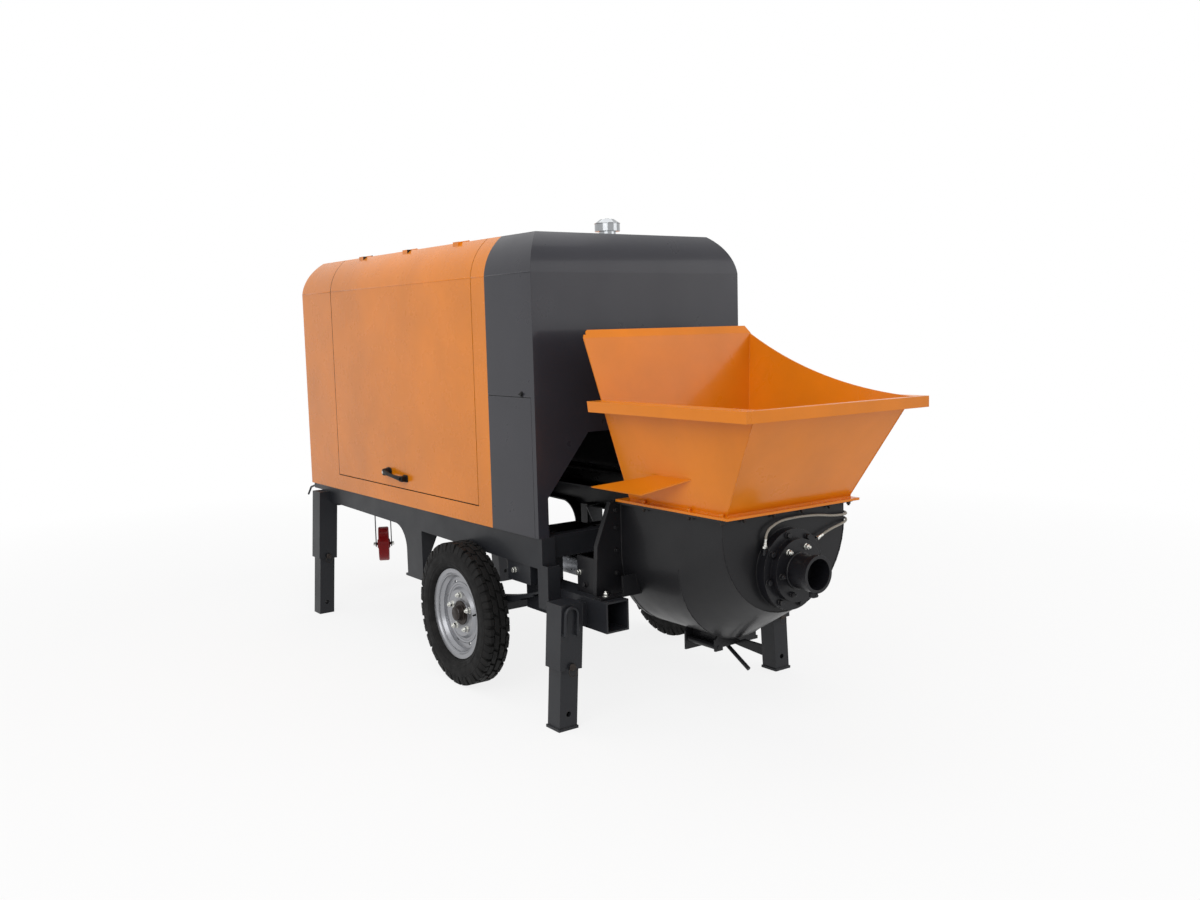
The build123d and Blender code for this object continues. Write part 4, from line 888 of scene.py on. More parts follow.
@dataclass
class Suspension:
    """U-bolts, clamp plates and U-bolt nuts of one leaf spring."""

    side: Side
    wheel_x: float = 0.608
    rod_radius: float = 0.007
    rod_spread: float = 0.0325
    rod_station: float = 0.036
    top_z: float = 0.4345
    plate_z: float = 0.314
    plate_half: tuple[float, float] = (0.052, 0.046)

    def build(self) -> None:
        """Clamp the spring on the axle."""
        spring = box_middle(f"leaf_spring_{self.side.word}")
        y = abs(spring.y) * self.side.value
        rods, nuts = Mould(), Mould()
        for dx in (-self.rod_station, self.rod_station):
            x = self.wheel_x + dx
            bend = [(1, self.plate_z - 0.022), (1, self.top_z - 0.012), (0.93, self.top_z - 0.003),
                    (0.7, self.top_z), (0.0, self.top_z)]
            half = [station(x, y + self.rod_spread * w, z) for w, z in bend]
            other = [station(x, y - self.rod_spread * w, z) for w, z in reversed(bend[:-1])]
            rods.bar(half + other, self.rod_radius, 10)
            for dy in (-self.rod_spread, self.rod_spread):
                nuts.bolt(frame_at(station(x, y + dy, self.plate_z - 0.005), DOWN, FORWARD), 0.021, 0.011)
        width, depth = self.plate_half
        rods.slab(frame_at(station(self.wheel_x, y, self.plate_z), UP, FORWARD),
                  rounded_rectangle(2 * depth, 2 * width, 0.008), -0.005, 0.005, 0.001)
        rods.slab(frame_at(station(self.wheel_x, y, self.top_z - 0.010), UP, FORWARD),
                  rounded_rectangle(0.050, 0.110, 0.006), -0.004, 0.001, 0.001)
        rods.place(f"spring_clamps_{self.side.word}", CHASSIS_GREY, "trailer")
        nuts.place(f"spring_nuts_{self.side.word}", BRIGHT_ZINC, "trailer")


@dataclass
class SupportLeg:
    """Pin, wire ring and weld seams of one square leg."""

    side: Side
    end: str
    splay: float = 0.06
    foot_y: float = 0.640
    half: float = 0.056

    def centre(self, z: float) -> Vector:
        """The leg's middle at a height above the ground."""
        x = box_middle(f"leg_tube_{self.end}_{self.side.word}").x
        return Vector((x, self.side.value * (self.foot_y - self.splay * z), z))

    def build(self) -> None:
        """Put the locking pin's head and ring on the sleeve's rear face."""
        name = f"{self.end}_{self.side.word}"
        low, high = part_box(f"leg_sleeve_{name}")
        z = low.z + 0.018
        head = frame_at(self.centre(z) + REARWARD * (self.half + 0.0095), REARWARD)
        mould = Mould()
        mould.turned(head, [(0.0155, -0.001), (0.0155, 0.004), (0.0140, 0.0055), (0.0070, 0.0060)], 24)
        drop = 0.020
        wire = [head @ Vector((x, y - drop, 0.0035 + 0.002 * (i % 2))) for i, (x, y) in
                enumerate(around(drop, 20))]
        mould.bar(wire, 0.0018, 6, endless=True)
        mould.place(f"leg_pin_{name}", GREASY_STEEL, "trailer")
        seam = Mould()
        for sign in (-1, 1):
            edge = Vector((sign * self.half * 0.985, 0.0, 0.0))
            inward = Vector((0.0, -self.side.value * self.half * 0.97, 0.0))
            seam.weld([self.centre(z) + edge + inward for z in (low.z + 0.004, high.z - 0.004)], 0.0022)
        seam.place(f"leg_seams_{name}", CHASSIS_GREY, "trailer")


@dataclass
class Canopy:
    """Latches, door levers, foam, seals, shoulder folds, the radiator and the roof cap's trim."""

    half_width: float = 0.600
    wall: float = 0.025
    latch: tuple[float, float] = (0.102, 1.4115)
    lever_forward: float = 1.468
    lever_rear: float = 1.258
    lever_z: float = 0.938
    foam_rear: float = 0.575
    foam_front: float = 2.090
    foam_low: float = 0.905
    foam_high: float = 1.885
    foam_step: float = 0.020
    foam_thickness: float = 0.018
    seal_radius: float = 0.009
    seal_top: float = 1.850
    seal_offset: float = 0.0015
    fold_z: float = 1.937
    radiator_back: float = 0.055
    radiator_z: float = 1.360
    radiator_half_width: float = 0.370
    radiator_half_height: float = 0.330
    radiator_depth: float = 0.030
    radiator_tubes: int = 38
    radiator_fins: int = 66

    def build(self) -> None:
        """Make the fittings of both sides, then the radiator and the roof cap's trim."""
        for side in Side:
            self.build_latch(side)
            self.build_lever(side)
            self.build_foam(side)
            self.build_seal(side)
            self.build_folds(side)
        self.build_radiator()
        self.build_cap_ring()

    def on_side(self, side: Side, x: float, z: float, out: float = 0.0) -> Matrix:
        """A frame on the side wall, Z outwards."""
        place = station(x, side.value * (self.half_width + out), z)
        return frame_at(place, sideways(side.value))

    def build_latch(self, side: Side) -> None:
        """Quarter-turn latch above the lift-off panel's seam."""
        at = self.on_side(side, *self.latch)
        mould = Mould()
        mould.turned(at, [(0.0125, -0.001), (0.0125, 0.0025), (0.0110, 0.0035), (0.0080, 0.0035),
                          (0.0075, 0.0070), (0.0060, 0.0078)], 28)
        mould.slab(at, rounded_rectangle(0.0240, 0.0065, 0.003), 0.006, 0.0105, 0.001)
        mould.place(f"panel_latch_{side.word}", BLACK_PLASTIC, "trailer")

    def build_lever(self, side: Side) -> None:
        """Door lever: rounded forward pad with its lock, waisted grip and square rear block."""
        forward = self.on_side(side, self.lever_forward, self.lever_z + 0.010)
        rear = self.on_side(side, self.lever_rear + 0.014, self.lever_z - 0.010)
        mould = Mould()
        mould.slab(forward, rounded_rectangle(0.064, 0.046, 0.018, 5), -0.001, 0.006, 0.002)
        mould.slab(rear, rounded_rectangle(0.050, 0.038, 0.008), -0.001, 0.006, 0.002)
        mould.turned(forward, [(0.0205, 0.004), (0.0200, 0.026), (0.0180, 0.036), (0.0120, 0.0395)], 32)
        mould.slab(rear, rounded_rectangle(0.036, 0.030, 0.006), 0.004, 0.034, 0.003)
        stations = [(0.00, 0.0165, 0.026), (0.12, 0.0150, 0.031), (0.30, 0.0118, 0.0345),
                    (0.50, 0.0108, 0.0355), (0.70, 0.0115, 0.0345), (0.88, 0.0135, 0.0310),
                    (1.00, 0.0145, 0.0270)]
        start, stop = forward.translation, rear.translation
        outward = sideways(side.value)
        path = [start.lerp(stop, share) + outward * out for share, _, out in stations]
        mould.bar(path, [radius for _, radius, _ in stations], 16, 0.85)
        word = side.word
        lever = mould.place(f"door_lever_{word}", BLACK_PLASTIC, f"door_{word}")
        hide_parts(f"door_handle_{word}")
        lock = Mould()
        lock.turned(forward, [(0.0080, 0.0385), (0.0080, 0.0410), (0.0068, 0.0418), (0.0030, 0.0418)], 24)
        lock.place(f"door_lock_{word}", BRIGHT_ZINC, f"door_{word}")

    def build_foam(self, side: Side) -> None:
        """Egg-crate foam sheet on the door's inner face."""
        sheet = Mould()
        grow = sheet.mesh
        back_y = self.half_width - self.wall - 0.001
        columns = int((self.foam_front - self.foam_rear) / self.foam_step)
        rows = int((self.foam_high - self.foam_low) / self.foam_step)
        grid = []
        for i in range(columns + 1):
            line = []
            for j in range(rows + 1):
                edge = i in (0, columns) or j in (0, rows)
                depth = 0.002 if edge else self.foam_thickness * (1.0 if (i + j) % 2 else 0.45)
                x, z = self.foam_rear + self.foam_step * i, self.foam_low + self.foam_step * j
                line.append(grow.verts.new(station(x, side.value * (back_y - depth), z)))
            grid.append(line)
        for i in range(columns):
            for j in range(rows):
                grow.faces.new((grid[i][j], grid[i + 1][j], grid[i + 1][j + 1], grid[i][j + 1]))
        border = [grid[i][0] for i in range(columns + 1)]
        border += [grid[columns][j] for j in range(1, rows + 1)]
        border += [grid[i][rows] for i in range(columns - 1, -1, -1)]
        border += [grid[0][j] for j in range(rows - 1, 0, -1)]
        grow.faces.new(border[::-1])
        sheet.place(f"door_foam_{side.word}", INSULATION_FOAM, f"door_{side.word}", 80.0)

    def build_folds(self, side: Side) -> None:
        """Crisp folds where the side walls turn into the shoulders."""
        door_low, door_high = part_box(f"door_{side.word}")
        rear_low, rear_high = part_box("canopy_rear_shell")
        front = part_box("canopy_front_shell")[1].x
        runs = [("rear", rear_low.x, rear_high.x, DARK_GREY, "trailer"),
                ("strip", rear_high.x, door_low.x - 0.004, ORANGE, "trailer"),
                ("door", door_low.x, door_high.x, ORANGE, f"door_{side.word}"),
                ("front", door_high.x + 0.004, front, ORANGE, "trailer")]
        y = side.value * (self.half_width - 0.0018)
        for name, start, stop, finish, body in runs:
            mould = Mould()
            stops = (start + 0.001, start + 0.004, stop - 0.004, stop - 0.001)
            path = [Vector((x, y, self.fold_z)) for x in stops]
            mould.bar(path, [0.0020, 0.0035, 0.0035, 0.0020], 12)
            mould.place(f"shoulder_fold_{name}_{side.word}", finish, body, 60.0)

    def build_seal(self, side: Side) -> None:
        """Rubber tube behind the gap along the door's two ends and lower edge."""
        low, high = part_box(f"door_{side.word}")
        y = side.value * (self.half_width - self.wall - self.seal_radius + 0.0005)
        gap, bend, inset = self.seal_offset, 0.02, 0.006
        rear, front, bottom = low.x - gap, high.x + gap, low.z - gap
        turns = [(rear, self.seal_top), (rear, bottom + bend), (rear + inset, bottom + inset),
                 (rear + bend, bottom), (front - bend, bottom), (front - inset, bottom + inset),
                 (front, bottom + bend), (front, self.seal_top)]
        mould = Mould()
        mould.bar([Vector((x, y, z)) for x, z in turns], self.seal_radius, 10)
        mould.place(f"door_seal_{side.word}", INSULATION_FOAM, "trailer")

    def build_radiator(self) -> None:
        """Radiator core with flat tubes, fins and tanks behind the grille."""
        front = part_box("canopy_front_shell")[1].x - self.radiator_back
        middle = station(0.0, 0.0, self.radiator_z).z
        core, tanks = Mould(), Mould()
        half, height, depth = self.radiator_half_width, self.radiator_half_height, self.radiator_depth
        at = frame_at(Vector((front - depth, 0.0, middle)), FORWARD)
        tube = rounded_rectangle(0.0035, 2 * height, 0.0015, 2)
        for i in range(self.radiator_tubes):
            y = -half + 2 * half * (i + 0.5) / self.radiator_tubes
            core.slab(at @ Matrix.Translation((y, 0.0, 0.0)), tube, 0.0, depth)
        fin = rounded_rectangle(2 * half, 0.0012, 0.0005, 1)
        for i in range(self.radiator_fins):
            z = -height + 2 * height * (i + 0.5) / self.radiator_fins
            core.slab(at @ Matrix.Translation((0.0, z, 0.0)), fin, 0.003, depth - 0.003)
        for sign in (-1, 1):
            tank = at @ Matrix.Translation((0.0, sign * (height + 0.024), -0.012))
            tanks.slab(tank, rounded_rectangle(2 * half + 0.030, 0.050, 0.012, 4), 0.0, depth + 0.024, 0.004)
            cheek = at @ Matrix.Translation((sign * (half + 0.008), 0.0, -0.004))
            tanks.slab(cheek, rounded_rectangle(0.012, 2 * height + 0.060, 0.003), 0.0, depth + 0.008, 0.001)
            foot_height = middle - height - 0.049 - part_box("chassis_frame")[1].z
            foot = at @ Matrix.Translation((sign * (half - 0.030), -height - 0.049 - foot_height / 2, 0.0))
            tanks.slab(foot, rounded_rectangle(0.040, foot_height, 0.004), 0.004, 0.012, 0.001)
        core.place("radiator_core", FIN_METAL, "trailer")
        tanks.place("radiator_tanks", BLACK_PLASTIC, "trailer")

    def build_cap_ring(self) -> None:
        """Beaded rim and lifting knob of the roof cap."""
        low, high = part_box("roof_cap")
        at = frame_at(Vector((box_middle("roof_cap").x, 0.0, high.z)), UP, FORWARD)
        radius = (high.x - low.x) / 2
        mould = Mould()
        mould.turned(at, [(0.0120, -0.001), (0.0120, 0.003), (0.0095, 0.0045), (0.0050, 0.0050)], 24)
        bead = [at @ Vector((x, y, -0.0195)) for x, y in around(radius - 0.0005, 48)]
        mould.bar(bead, 0.0022, 8, endless=True)
        mould.place("roof_cap_trim", CHROME, "trailer")


@dataclass
class PowerPack:
    """Sheet-metal covers on the engine's block: louvred panels and lifting eyes."""

    panels: int = 3
    louvres: int = 7
    louvre_pitch: float = 0.060
    eye_places: tuple[float, float] = (0.15, 0.85)

    def build(self) -> None:
        """Cover both long sides and stand lifting eyes on the top."""
        low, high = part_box("engine_block")
        length, height = high.x - low.x, high.z - low.z
        width = length / self.panels
        covers, bolts = Mould(), Mould()
        for side in Side:
            y = high.y if side is Side.LEFT else low.y
            for i in range(self.panels):
                centre = Vector((low.x + width * (i + 0.5), y, (low.z + high.z) / 2))
                at = frame_at(centre, sideways(side.value))
                cover = rounded_rectangle(width - 0.020, height - 0.060, 0.018, 4)
                covers.slab(at, cover, -0.001, 0.006, 0.002)
                for j in range(self.louvres):
                    z = (j - (self.louvres - 1) / 2) * self.louvre_pitch
                    shares = (-0.30, -0.28, 0.28, 0.30)
                    path = [at @ Vector((width * share, z, 0.004)) for share in shares]
                    covers.bar(path, [0.003, 0.009, 0.009, 0.003], 10)
                for sx in (-1, 1):
                    for sz in (-1, 1):
                        x, z = sx * (width / 2 - 0.028), sz * (height / 2 - 0.050)
                        corner = Matrix.Translation((x, z, 0.006))
                        bolts.bolt(at @ corner, 0.013)
        for share in self.eye_places:
            foot = Vector((low.x + length * share, 0.0, high.z))
            eye = [foot + Vector((0.0, 0.022 * cos(a), 0.020 + 0.022 * sin(a))) for a in
                   (tau * k / 20 for k in range(20))]
            covers.bar(eye, 0.006, 8, endless=True)
        covers.place("engine_covers", CHASSIS_GREY, "trailer")
        bolts.place("engine_cover_bolts", BRIGHT_ZINC, "trailer")


@dataclass
class LoadingHopper:
    """Weld seams and flange bolts of the hopper."""

    flange_z: float = 0.963
    under_z: float = 0.943
    bolt_y: float = 0.3575
    side_bolts: tuple[float, ...] = (-0.436, -0.722, -0.914)
    rear_bolts: tuple[float, ...] = (-0.240, -0.080, 0.080, 0.240)
    rear_bolt_x: float = -0.9135
    collar: tuple[float, float, float] = (-0.930, -0.325, 0.345)
    bend_z: float = 0.970
    rim_z: float = 1.344
    slopes: tuple[float, float, float] = (0.6, 0.176, 0.2)
    plate_wall: tuple[float, float, float, float] = (-0.752, -0.550, 0.3685, 1.090)
    corner_bead: float = 0.0022
    collar_bead: float = 0.0028
    rim_bead: float = 0.0026

    def build(self) -> None:
        """Weld the walls and bolt the flange down."""
        self.build_welds()
        self.build_bolts()

    def corner(self, rear: bool, sign: int, z: float) -> Vector:
        """A corner of the funnel at a height."""
        rise = z - self.bend_z
        x = self.collar[0] - self.slopes[0] * rise if rear else self.collar[1] + self.slopes[1] * rise
        return station(x, sign * (self.collar[2] + self.slopes[2] * rise), z)

    def build_welds(self) -> None:
        """Seams up the corners, round the collar and under the side plate."""
        mould = Mould()
        for rear in (True, False):
            for sign in (-1, 1):
                seam = [self.corner(rear, sign, z) for z in (self.bend_z, self.rim_z)]
                mould.weld(seam, self.corner_bead)
        x0, x1, y = self.collar
        z = self.flange_z
        loop = [station(x, side_y, z) for x, side_y in ((x0, -y), (x0, y), (x1, y), (x1, -y), (x0, -y))]
        mould.weld(loop, self.collar_bead)
        turns = ((True, -1), (True, 1), (False, 1), (False, -1), (True, -1))
        mould.weld([self.corner(rear, sign, self.rim_z) for rear, sign in turns], self.rim_bead)
        rear_x, front_x, wall_y, wall_z = self.plate_wall
        seam = [station(x, wall_y + 0.002, wall_z + 0.002) for x in (rear_x, front_x)]
        mould.weld(seam, self.rim_bead)
        mould.place("hopper_seams", HOPPER_ORANGE, "trailer")

    def build_bolts(self) -> None:
        """Hexagon bolts through both flanges, with nuts beneath."""
        heads, nuts = Mould(), Mould()
        places = [(x, side * self.bolt_y) for x in self.side_bolts for side in (-1, 1)]
        places += [(self.rear_bolt_x, y) for y in self.rear_bolts]
        for x, y in places:
            heads.bolt(frame_at(station(x, y, self.flange_z - 0.0005), UP, FORWARD), 0.017)
            nuts.bolt(frame_at(station(x, y, self.under_z + 0.0005), DOWN, FORWARD), 0.017, 0.009, 0.006)
        heads.place("hopper_flange_bolts", HOPPER_ORANGE, "trailer")
        nuts.place("hopper_flange_nuts", GREASY_STEEL, "trailer")


@dataclass
class OutletAndTub:
    """Bolts, seams, ferrules and the lever nut on the concrete tub and its outlet."""

    axis_z: float = 0.712
    flange_x: float = -0.942
    plate_x: float = -0.972
    end_x: float = -1.076
    tub_rear_x: float = -0.900
    tub_front_x: float = -0.257
    tub_radius: float = 0.343
    tub_top_z: float = 0.943
    flange_circle: float = 0.1455
    plate_circle: float = 0.1000
    foot_bolt: Point = (-0.318, 0.478, 0.0115)
    upper_bolt: Point = (-0.125, 0.4755, 0.638)
    lower_bolt: Point = (-0.170, 0.4755, 0.590)
    frame_bolt: Point = (0.240, 0.5795, 0.604)
    rim_bolts: tuple[float, ...] = (0.640, 0.740, 0.840, 0.915)
    rim_bolt_out: float = 0.030
    saddle_x: float = -0.635
    socket_radius: float = 0.1655
    rear_arc_rise: float = 0.163

    def build(self) -> None:
        """Make the outlet's fastenings, the seams and the ferrules."""
        self.build_outlet_bolts()
        self.build_bulkhead_bolts()
        self.build_seams()
        self.build_ferrules()
        self.build_lever_nut()

    def build_outlet_bolts(self) -> None:
        """Eight bolts on the housing, six studs on its cover and the clamp bolt under the end ring."""
        dark, bright = Mould(), Mould()
        flange = frame_at(station(self.flange_x, 0.0, self.axis_z), REARWARD)
        for x, y in around(self.flange_circle, 8, 58.0):
            dark.bolt(flange @ Matrix.Translation((x, y, -0.0005)), 0.021)
        plate = frame_at(station(self.plate_x, 0.0, self.axis_z), REARWARD)
        for i, (x, y) in enumerate(around(self.plate_circle, 6, 66.0)):
            mould = bright if i in (0, 1) else dark
            mould.bolt(plate @ Matrix.Translation((x, y, -0.0005)), 0.019, 0.013, 0.010)
        dark.turned(plate, [(0.0760, -0.001), (0.0760, 0.006), (0.0735, 0.008), (0.0705, 0.008)], 64)
        lug = station(self.end_x + 0.013, 0.016, self.axis_z - 0.0845)
        at = frame_at(lug, DOWN, FORWARD)
        dark.slab(at, rounded_rectangle(0.030, 0.026, 0.005), -0.014, 0.006, 0.002)
        dark.bolt(frame_at(lug + Vector((-0.0125, 0.0, 0.004)), REARWARD), 0.013, 0.007)
        dark.place("outlet_bolts", CAST_BLACK, "trailer")
        bright.place("outlet_studs", BRIGHT_ZINC, "trailer")

    def build_bulkhead_bolts(self) -> None:
        """Foot bolts on the lower beams, side bolts of the beams and bolts beside the tub's rim."""
        bright, dark = Mould(), Mould()
        foot_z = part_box("rear_beam_left")[1].z
        for side in (-1, 1):
            x, y, rise = self.foot_bolt
            bright.bolt(frame_at(station(x, side * y, foot_z + rise), UP, FORWARD), 0.022, 0.013, 0.008)
            for (x, y, z), mould, across, height in (
                    (self.upper_bolt, bright, 0.020, None), (self.lower_bolt, dark, 0.020, None),
                    (self.frame_bolt, bright, 0.022, 0.013)):
                mould.bolt(frame_at(station(x, side * y, z), sideways(side)), across, height)
            y = self.tub_radius + self.rim_bolt_out
            for z in self.rim_bolts:
                dark.bolt(frame_at(station(self.tub_front_x + 0.0005, side * y, z), REARWARD), 0.016)
        bright.place("bulkhead_bright_bolts", BRIGHT_ZINC, "trailer")
        dark.place("bulkhead_bolts", TUB_BLACK, "trailer")

    def arc(self, x: float, rise: float = 0.0) -> list[Vector]:
        """The tub's round underside at a distance along it, from the left rim to the right."""
        angles = [pi * i / 24 for i in range(25)]
        r, z = self.tub_radius, self.axis_z + rise
        return [station(x, r * cos(a), z - r * sin(a)) for a in angles]

    def build_seams(self) -> None:
        """Weld beads along the tub's edges and round the outlet."""
        mould = Mould()
        x = self.tub_front_x - 0.0005
        left, right = (station(x, y, self.tub_top_z) for y in (self.tub_radius, -self.tub_radius))
        mould.weld([left, *self.arc(x), right], 0.0030)
        mould.weld(self.arc(self.saddle_x), 0.0020)
        mould.weld(self.arc(self.tub_rear_x, self.rear_arc_rise), 0.0028)
        mould.ring_weld(frame_at(station(self.tub_rear_x, 0.0, self.axis_z), REARWARD),
                        self.socket_radius, 0.0030)
        mould.place("tub_seams", TUB_BLACK, "trailer")

    def build_ferrules(self) -> None:
        """Crimped bright ferrules on both ends of each grease hose."""
        mould = Mould()
        ends = [
            (station(-0.921, 0.138, 0.822), Vector((0.0, -10.0, 59.0))),
            (station(-0.921, -0.165, 0.817), Vector((0.0, -71.0, 25.0))),
            (station(-0.812, -0.385, 0.892), REARWARD),
            (station(-0.812, -0.385, 0.868), REARWARD),
        ]
        profile = [(0.0056, 0.028), (0.0072, 0.027), (0.0072, 0.018), (0.0064, 0.0165), (0.0064, 0.0145),
                   (0.0074, 0.013), (0.0074, 0.007), (0.0088, 0.006), (0.0088, -0.001)]
        for place, along in ends:
            mould.turned(frame_at(place, along, FORWARD), profile[::-1], 18)
            mould.slab(frame_at(place, along, FORWARD), around(0.0105, 6), -0.010, -0.001, 0.001)
        mould.place("hose_ferrules", BRIGHT_ZINC, "trailer")

    def build_lever_nut(self) -> None:
        """Slotted nut that holds the transfer tube's lever on its shaft."""
        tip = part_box("transfer_tube")[1].x
        mould = Mould()
        mould.bolt(frame_at(Vector((tip - 0.0005, 0.0, self.axis_z)), FORWARD), 0.046, 0.020, 0.008)
        mould.place("valve_shaft_nut", GREASY_STEEL, "transfer_valve")


@dataclass
class PumpingGear:
    """Flanges, glands and nuts of the concrete cylinders and their rams."""

    port_y: float = 0.118
    port_z: float = 0.566
    cylinder_ends: tuple[float, float] = (-0.232, 0.640)
    ram_ends: tuple[float, float] = (0.900, 1.660)
    flange_radius: float = 0.104
    stud_circle: float = 0.0935
    gland_reach: float = 0.040
    gland_circle: float = 0.050

    def build(self) -> None:
        """Ring flanges on the cylinders, studs round them and glands on the rams."""
        rings, studs = Mould(), Mould()
        for side in (-1, 1):
            for x, out in zip(self.cylinder_ends, (FORWARD, REARWARD)):
                at = frame_at(station(x, side * self.port_y, self.port_z), out)
                rings.turned(at, [(self.flange_radius, 0.0), (self.flange_radius, 0.018), (0.100, 0.021),
                                  (0.086, 0.021), (0.0835, 0.030), (0.0815, 0.030)], 48)
                for px, py in around(self.stud_circle, 8, 22.5):
                    studs.bolt(at @ Matrix.Translation((px, py, 0.0200)), 0.013, 0.008, 0.005)
            gland = station(self.ram_ends[0] + self.gland_reach, side * self.port_y, self.port_z)
            at = frame_at(gland, FORWARD)
            rings.turned(at, [(0.064, -0.001), (0.064, 0.004), (0.058, 0.008), (0.0525, 0.008)], 40)
            at_end = frame_at(station(self.ram_ends[1], side * self.port_y, self.port_z), FORWARD)
            for px, py in around(self.gland_circle, 6, 30.0):
                studs.bolt(at_end @ Matrix.Translation((px, py, -0.0005)), 0.014, 0.009, 0.004)
        rings.place("cylinder_flanges", CHASSIS_GREY, "trailer")
        studs.place("cylinder_studs", BRIGHT_ZINC, "trailer")


@dataclass
class Drawbar:
    """Seams of the towing frame, jockey clamp, crank grip and wheel ribs."""

    arm_inner: float = 0.390
    arm_outer: float = 0.470
    arm_low: float = 0.660
    arm_high: float = 0.740
    head_reach: float = 0.760
    shank_z: float = 0.700
    shank_radius: float = 0.0265
    bead: float = 0.0035
    mast_reach: float = 0.297
    clamp_heights: tuple[float, float] = (0.740, 0.670)
    screw_place: tuple[float, float] = (0.047, 0.749)
    crank_length: float = 0.145
    grip_grooves: int = 9
    ribs: int = 8
    axle_nut_out: float = 0.0545

    def build(self) -> None:
        """Dress the drawbar and the jockey wheel."""
        self.build_seams()
        self.build_clamp()
        self.build_ribs()

    def build_seams(self) -> None:
        """Beads where the arms meet the chassis and the eye's shank meets the head."""
        mould = Mould()
        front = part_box("canopy_front_shell")[1].x
        low, high = self.arm_low, self.arm_high
        for side in (-1, 1):
            inner, outer = side * self.arm_inner, side * self.arm_outer
            turns = ((inner, low), (outer, low), (outer, high), (inner, high), (inner, low))
            mould.weld([Vector((front, y, z)) for y, z in turns], self.bead)
        shank = Vector((front + self.head_reach, 0.0, self.shank_z))
        mould.ring_weld(frame_at(shank, FORWARD), self.shank_radius, self.bead)
        mould.place("drawbar_seams", CHASSIS_GREY, "trailer")

    def build_clamp(self) -> None:
        """Clamp collar round the mast with its T-handle, and the crank's grip."""
        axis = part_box("canopy_front_shell")[1].x + self.mast_reach
        mould, bright, grip = Mould(), Mould(), Mould()
        collar = [(0.0325, -0.001), (0.0480, -0.001), (0.0480, 0.016), (0.0460, 0.018), (0.0325, 0.018)]
        for z, flip in zip(self.clamp_heights, (1, -1)):
            at = frame_at(Vector((axis, 0.0, z)), UP * flip, FORWARD)
            mould.turned(at, collar, 40, endless=True)
        bolt_at = frame_at(Vector((axis, *self.screw_place)), sideways(1))
        bright.bolt(bolt_at, 0.017, 0.010, 0.022)
        bar = [bolt_at @ Vector((x, 0.0, 0.036)) for x in (-0.045, -0.043, 0.043, 0.045)]
        bright.bar(bar, [0.003, 0.005, 0.005, 0.003], 10)
        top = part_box("jockey_mast")[1].z
        profile = [(0.0115, -0.086), (0.0135, -0.084)]
        for i in range(self.grip_grooves):
            z = -0.080 + 0.0085 * i
            profile += [(0.0142, z), (0.0128, z + 0.0042)]
        profile += [(0.0142, 0.001), (0.0120, 0.006), (0.0060, 0.007)]
        grip.turned(frame_at(Vector((axis + self.crank_length, 0.0, top)), UP, FORWARD), profile, 20)
        mould.place("jockey_clamp", CHASSIS_GREY, "trailer")
        bright.place("jockey_clamp_screw", BRIGHT_ZINC, "trailer")
        grip.place("crank_grip", BLACK_PLASTIC, "trailer")

    def build_ribs(self) -> None:
        """Radial ribs on both faces of the jockey wheel and nuts on its axle."""
        joint = next(j for j in frame["record"]["behaviour"]["joints"] if j["name"] == "jockey_wheel_spin")
        centre, axis = Vector(joint["pos_m"]), Vector(joint["axis"])
        ribs, nuts = Mould(), Mould()
        web = [(0.0270, 0.0215), (0.0270, 0.0390), (0.0400, 0.0345), (0.0800, 0.0300), (0.0800, 0.0215)]
        for flip in (-1, 1):
            at = frame_at(centre, axis * flip)
            for i in range(self.ribs):
                turn = at @ Matrix.Rotation(tau * (i + 0.5) / self.ribs, 4, "Z")
                ribs.skin([[turn @ Vector((r, dy, h)) for r, h in web] for dy in (-0.0035, 0.0035)])
            nuts.bolt(at @ Matrix.Translation((0.0, 0.0, self.axle_nut_out)), 0.020, 0.010)
        ribs.place("jockey_wheel_ribs", CASTER_RED, "jockey_wheel")
        nuts.place("jockey_axle_nuts", BRIGHT_ZINC, "jockey_fork")


@dataclass
class PhotoCamera:
    """The camera that took the picture, placed from the canopy's rear face."""

    behind: float = 4.021
    left: float = 3.191
    height: float = 1.695
    yaw: float = -36.11
    pitch: float = -6.31
    roll: float = 1.45
    focal_pixels: float = 1110.7
    image_width: float = 1200.0
    sensor: float = 36.0

    def build(self) -> bpy.types.Object:
        """Make the camera and set it as the scene's own.

        Returns:
            The camera object.
        """
        yaw, pitch, roll = radians(self.yaw), radians(self.pitch), radians(self.roll)
        ahead = Vector((cos(pitch) * cos(yaw), cos(pitch) * sin(yaw), sin(pitch)))
        right = Vector((sin(yaw), -cos(yaw), 0.0))
        up = right.cross(ahead)
        turned_right = cos(roll) * right - sin(roll) * up
        turned_up = sin(roll) * right + cos(roll) * up
        data = bpy.data.cameras.new("photo_camera")
        data.sensor_width = self.sensor
        data.lens = self.sensor * self.focal_pixels / self.image_width
        data.clip_end = 200.0
        camera = bpy.data.objects.new("photo_camera", data)
        bpy.context.scene.collection.objects.link(camera)
        basis = Matrix((turned_right, turned_up, -ahead)).transposed()
        place = station(-self.behind, self.left, self.height)
        camera.matrix_world = Matrix.Translation(place) @ basis.to_4x4()
        bpy.context.scene.camera = camera
        return camera


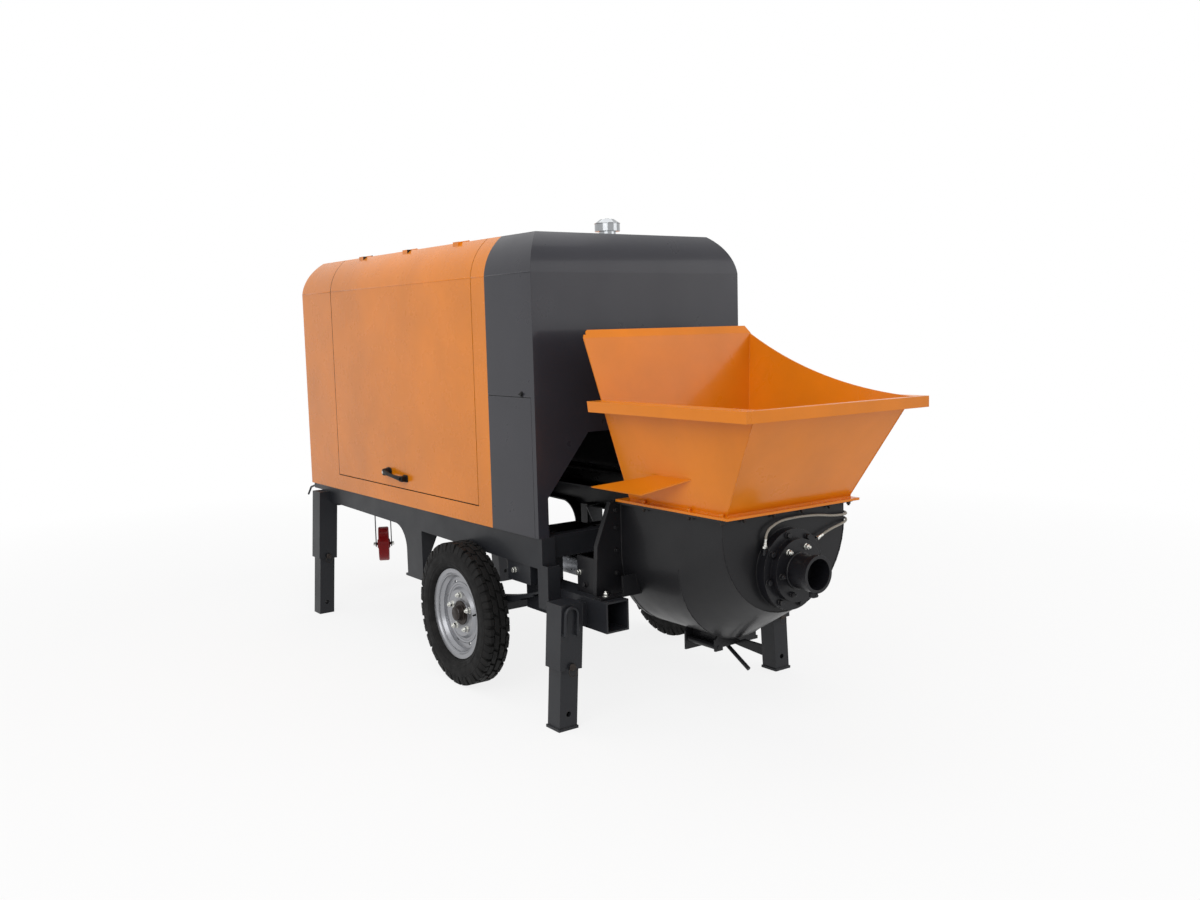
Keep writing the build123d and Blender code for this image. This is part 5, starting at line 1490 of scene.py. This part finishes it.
@dataclass
class Studio:
    """Pale floor, white surround and soft lamps."""

    floor_size: float = 60.0
    floor_whiteness: float = 0.84
    clear_from: float = 2.6
    clear_to: float = 6.5
    world_light: float = 0.46
    key_size: float = 6.0
    fill_size: float = 4.5
    top_size: float = 6.5
    key_watts: float = 262.0
    fill_watts: float = 96.0
    top_watts: float = 148.0

    def build(self) -> None:
        """Make the floor, the world and the lamps."""
        self.build_floor()
        self.build_world()
        middle = (cad_low + cad_high) / 2
        lamps = [("key", (-4.5, 5.5, 4.2), self.key_size, self.key_watts),
                 ("fill", (-6.0, -4.5, 2.6), self.fill_size, self.fill_watts),
                 ("top", (0.5, 0.0, 5.5), self.top_size, self.top_watts)]
        for name, offset, size, watts in lamps:
            self.add_lamp(name, middle + Vector(offset), middle, size, watts)
        bpy.context.scene.view_settings.view_transform = "Standard"

    def build_floor(self) -> None:
        """A level pale floor that keeps a faint shadow."""
        half = self.floor_size / 2
        mesh = bpy.data.meshes.new("studio_floor")
        corners = [(-half, -half, 0.0), (half, -half, 0.0), (half, half, 0.0), (-half, half, 0.0)]
        mesh.from_pydata(corners, [], [(0, 1, 2, 3)])
        floor = bpy.data.objects.new("studio_floor", mesh)
        bpy.context.scene.collection.objects.link(floor)
        sheet = NodeSheet("studio_floor")
        sheet.shader.inputs["Base Color"].default_value = (0.82, 0.82, 0.82, 1.0)
        sheet.shader.inputs["Roughness"].default_value = 0.9
        glow = sheet.add("ShaderNodeEmission")
        glow.inputs["Strength"].default_value = 1.0
        mix = sheet.add("ShaderNodeMixShader")
        seen = self.seen_rays(sheet.tree)
        away = sheet.near_axis((0.0, 0.0, 0.0), self.clear_from, self.clear_to, (1.0, 1.0, 0.0))
        share = sheet.spread(away, 0.0, 1.0, 1.0, self.floor_whiteness)
        sheet.put(sheet.times(seen, share), mix.inputs[0])
        sheet.put(sheet.shader.outputs[0], mix.inputs[1])
        sheet.put(glow.outputs[0], mix.inputs[2])
        sheet.put(mix.outputs[0], sheet.tree.nodes["Material Output"].inputs["Surface"])
        mesh.materials.append(sheet.material)

    @staticmethod
    def seen_rays(tree: bpy.types.NodeTree) -> Socket:
        """One for rays that are seen straight, in gloss or through glass.

        Args:
            tree: The node tree that asks.

        Returns:
            The ray test.
        """
        path = tree.nodes.new("ShaderNodeLightPath")
        seen = path.outputs["Is Camera Ray"]
        for name in ("Is Glossy Ray", "Is Transmission Ray"):
            node = tree.nodes.new("ShaderNodeMath")
            node.operation = "MAXIMUM"
            tree.links.new(seen, node.inputs[0])
            tree.links.new(path.outputs[name], node.inputs[1])
            seen = node.outputs[0]
        return seen

    def build_world(self) -> None:
        """White where it is seen, a soft even light elsewhere."""
        world = bpy.data.worlds.new("studio")
        world.use_nodes = True
        tree = world.node_tree
        background = tree.nodes["Background"]
        background.inputs["Color"].default_value = (1.0, 1.0, 1.0, 1.0)
        strength = tree.nodes.new("ShaderNodeMapRange")
        tree.links.new(self.seen_rays(tree), strength.inputs["Value"])
        strength.inputs["To Min"].default_value = self.world_light
        strength.inputs["To Max"].default_value = 1.0
        tree.links.new(strength.outputs["Result"], background.inputs["Strength"])
        bpy.context.scene.world = world

    @staticmethod
    def add_lamp(name: str, place: Vector, target: Vector, size: float, watts: float) -> None:
        """A square soft lamp that faces the machine.

        Args:
            name: The lamp's name.
            place: Where it hangs.
            target: What it faces.
            size: Side of the square in metres.
            watts: Its power.
        """
        data = bpy.data.lights.new(name, "AREA")
        data.size = size
        data.energy = watts
        lamp = bpy.data.objects.new(name, data)
        bpy.context.scene.collection.objects.link(lamp)
        lamp.location = place
        lamp.rotation_euler = (target - place).to_track_quat("-Z", "Y").to_euler()


def main() -> None:
    """Build the camera, the studio and every sub-assembly."""
    logging.basicConfig(level=logging.INFO, format="%(name)s: %(message)s")
    PhotoCamera().build()
    Studio().build()
    dress_nodes()
    sub_assemblies = [Canopy(), PowerPack(), LoadingHopper(), OutletAndTub(), PumpingGear(), Drawbar()]
    sub_assemblies += [RoadWheel(side) for side in Side]
    sub_assemblies += [Suspension(side) for side in Side]
    sub_assemblies += [SupportLeg(side, end) for side in Side for end in ("front", "rear")]
    for sub_assembly in sub_assemblies:
        sub_assembly.build()
        log.info("finished %s", type(sub_assembly).__name__)


if __name__ == "__main__":
    main()
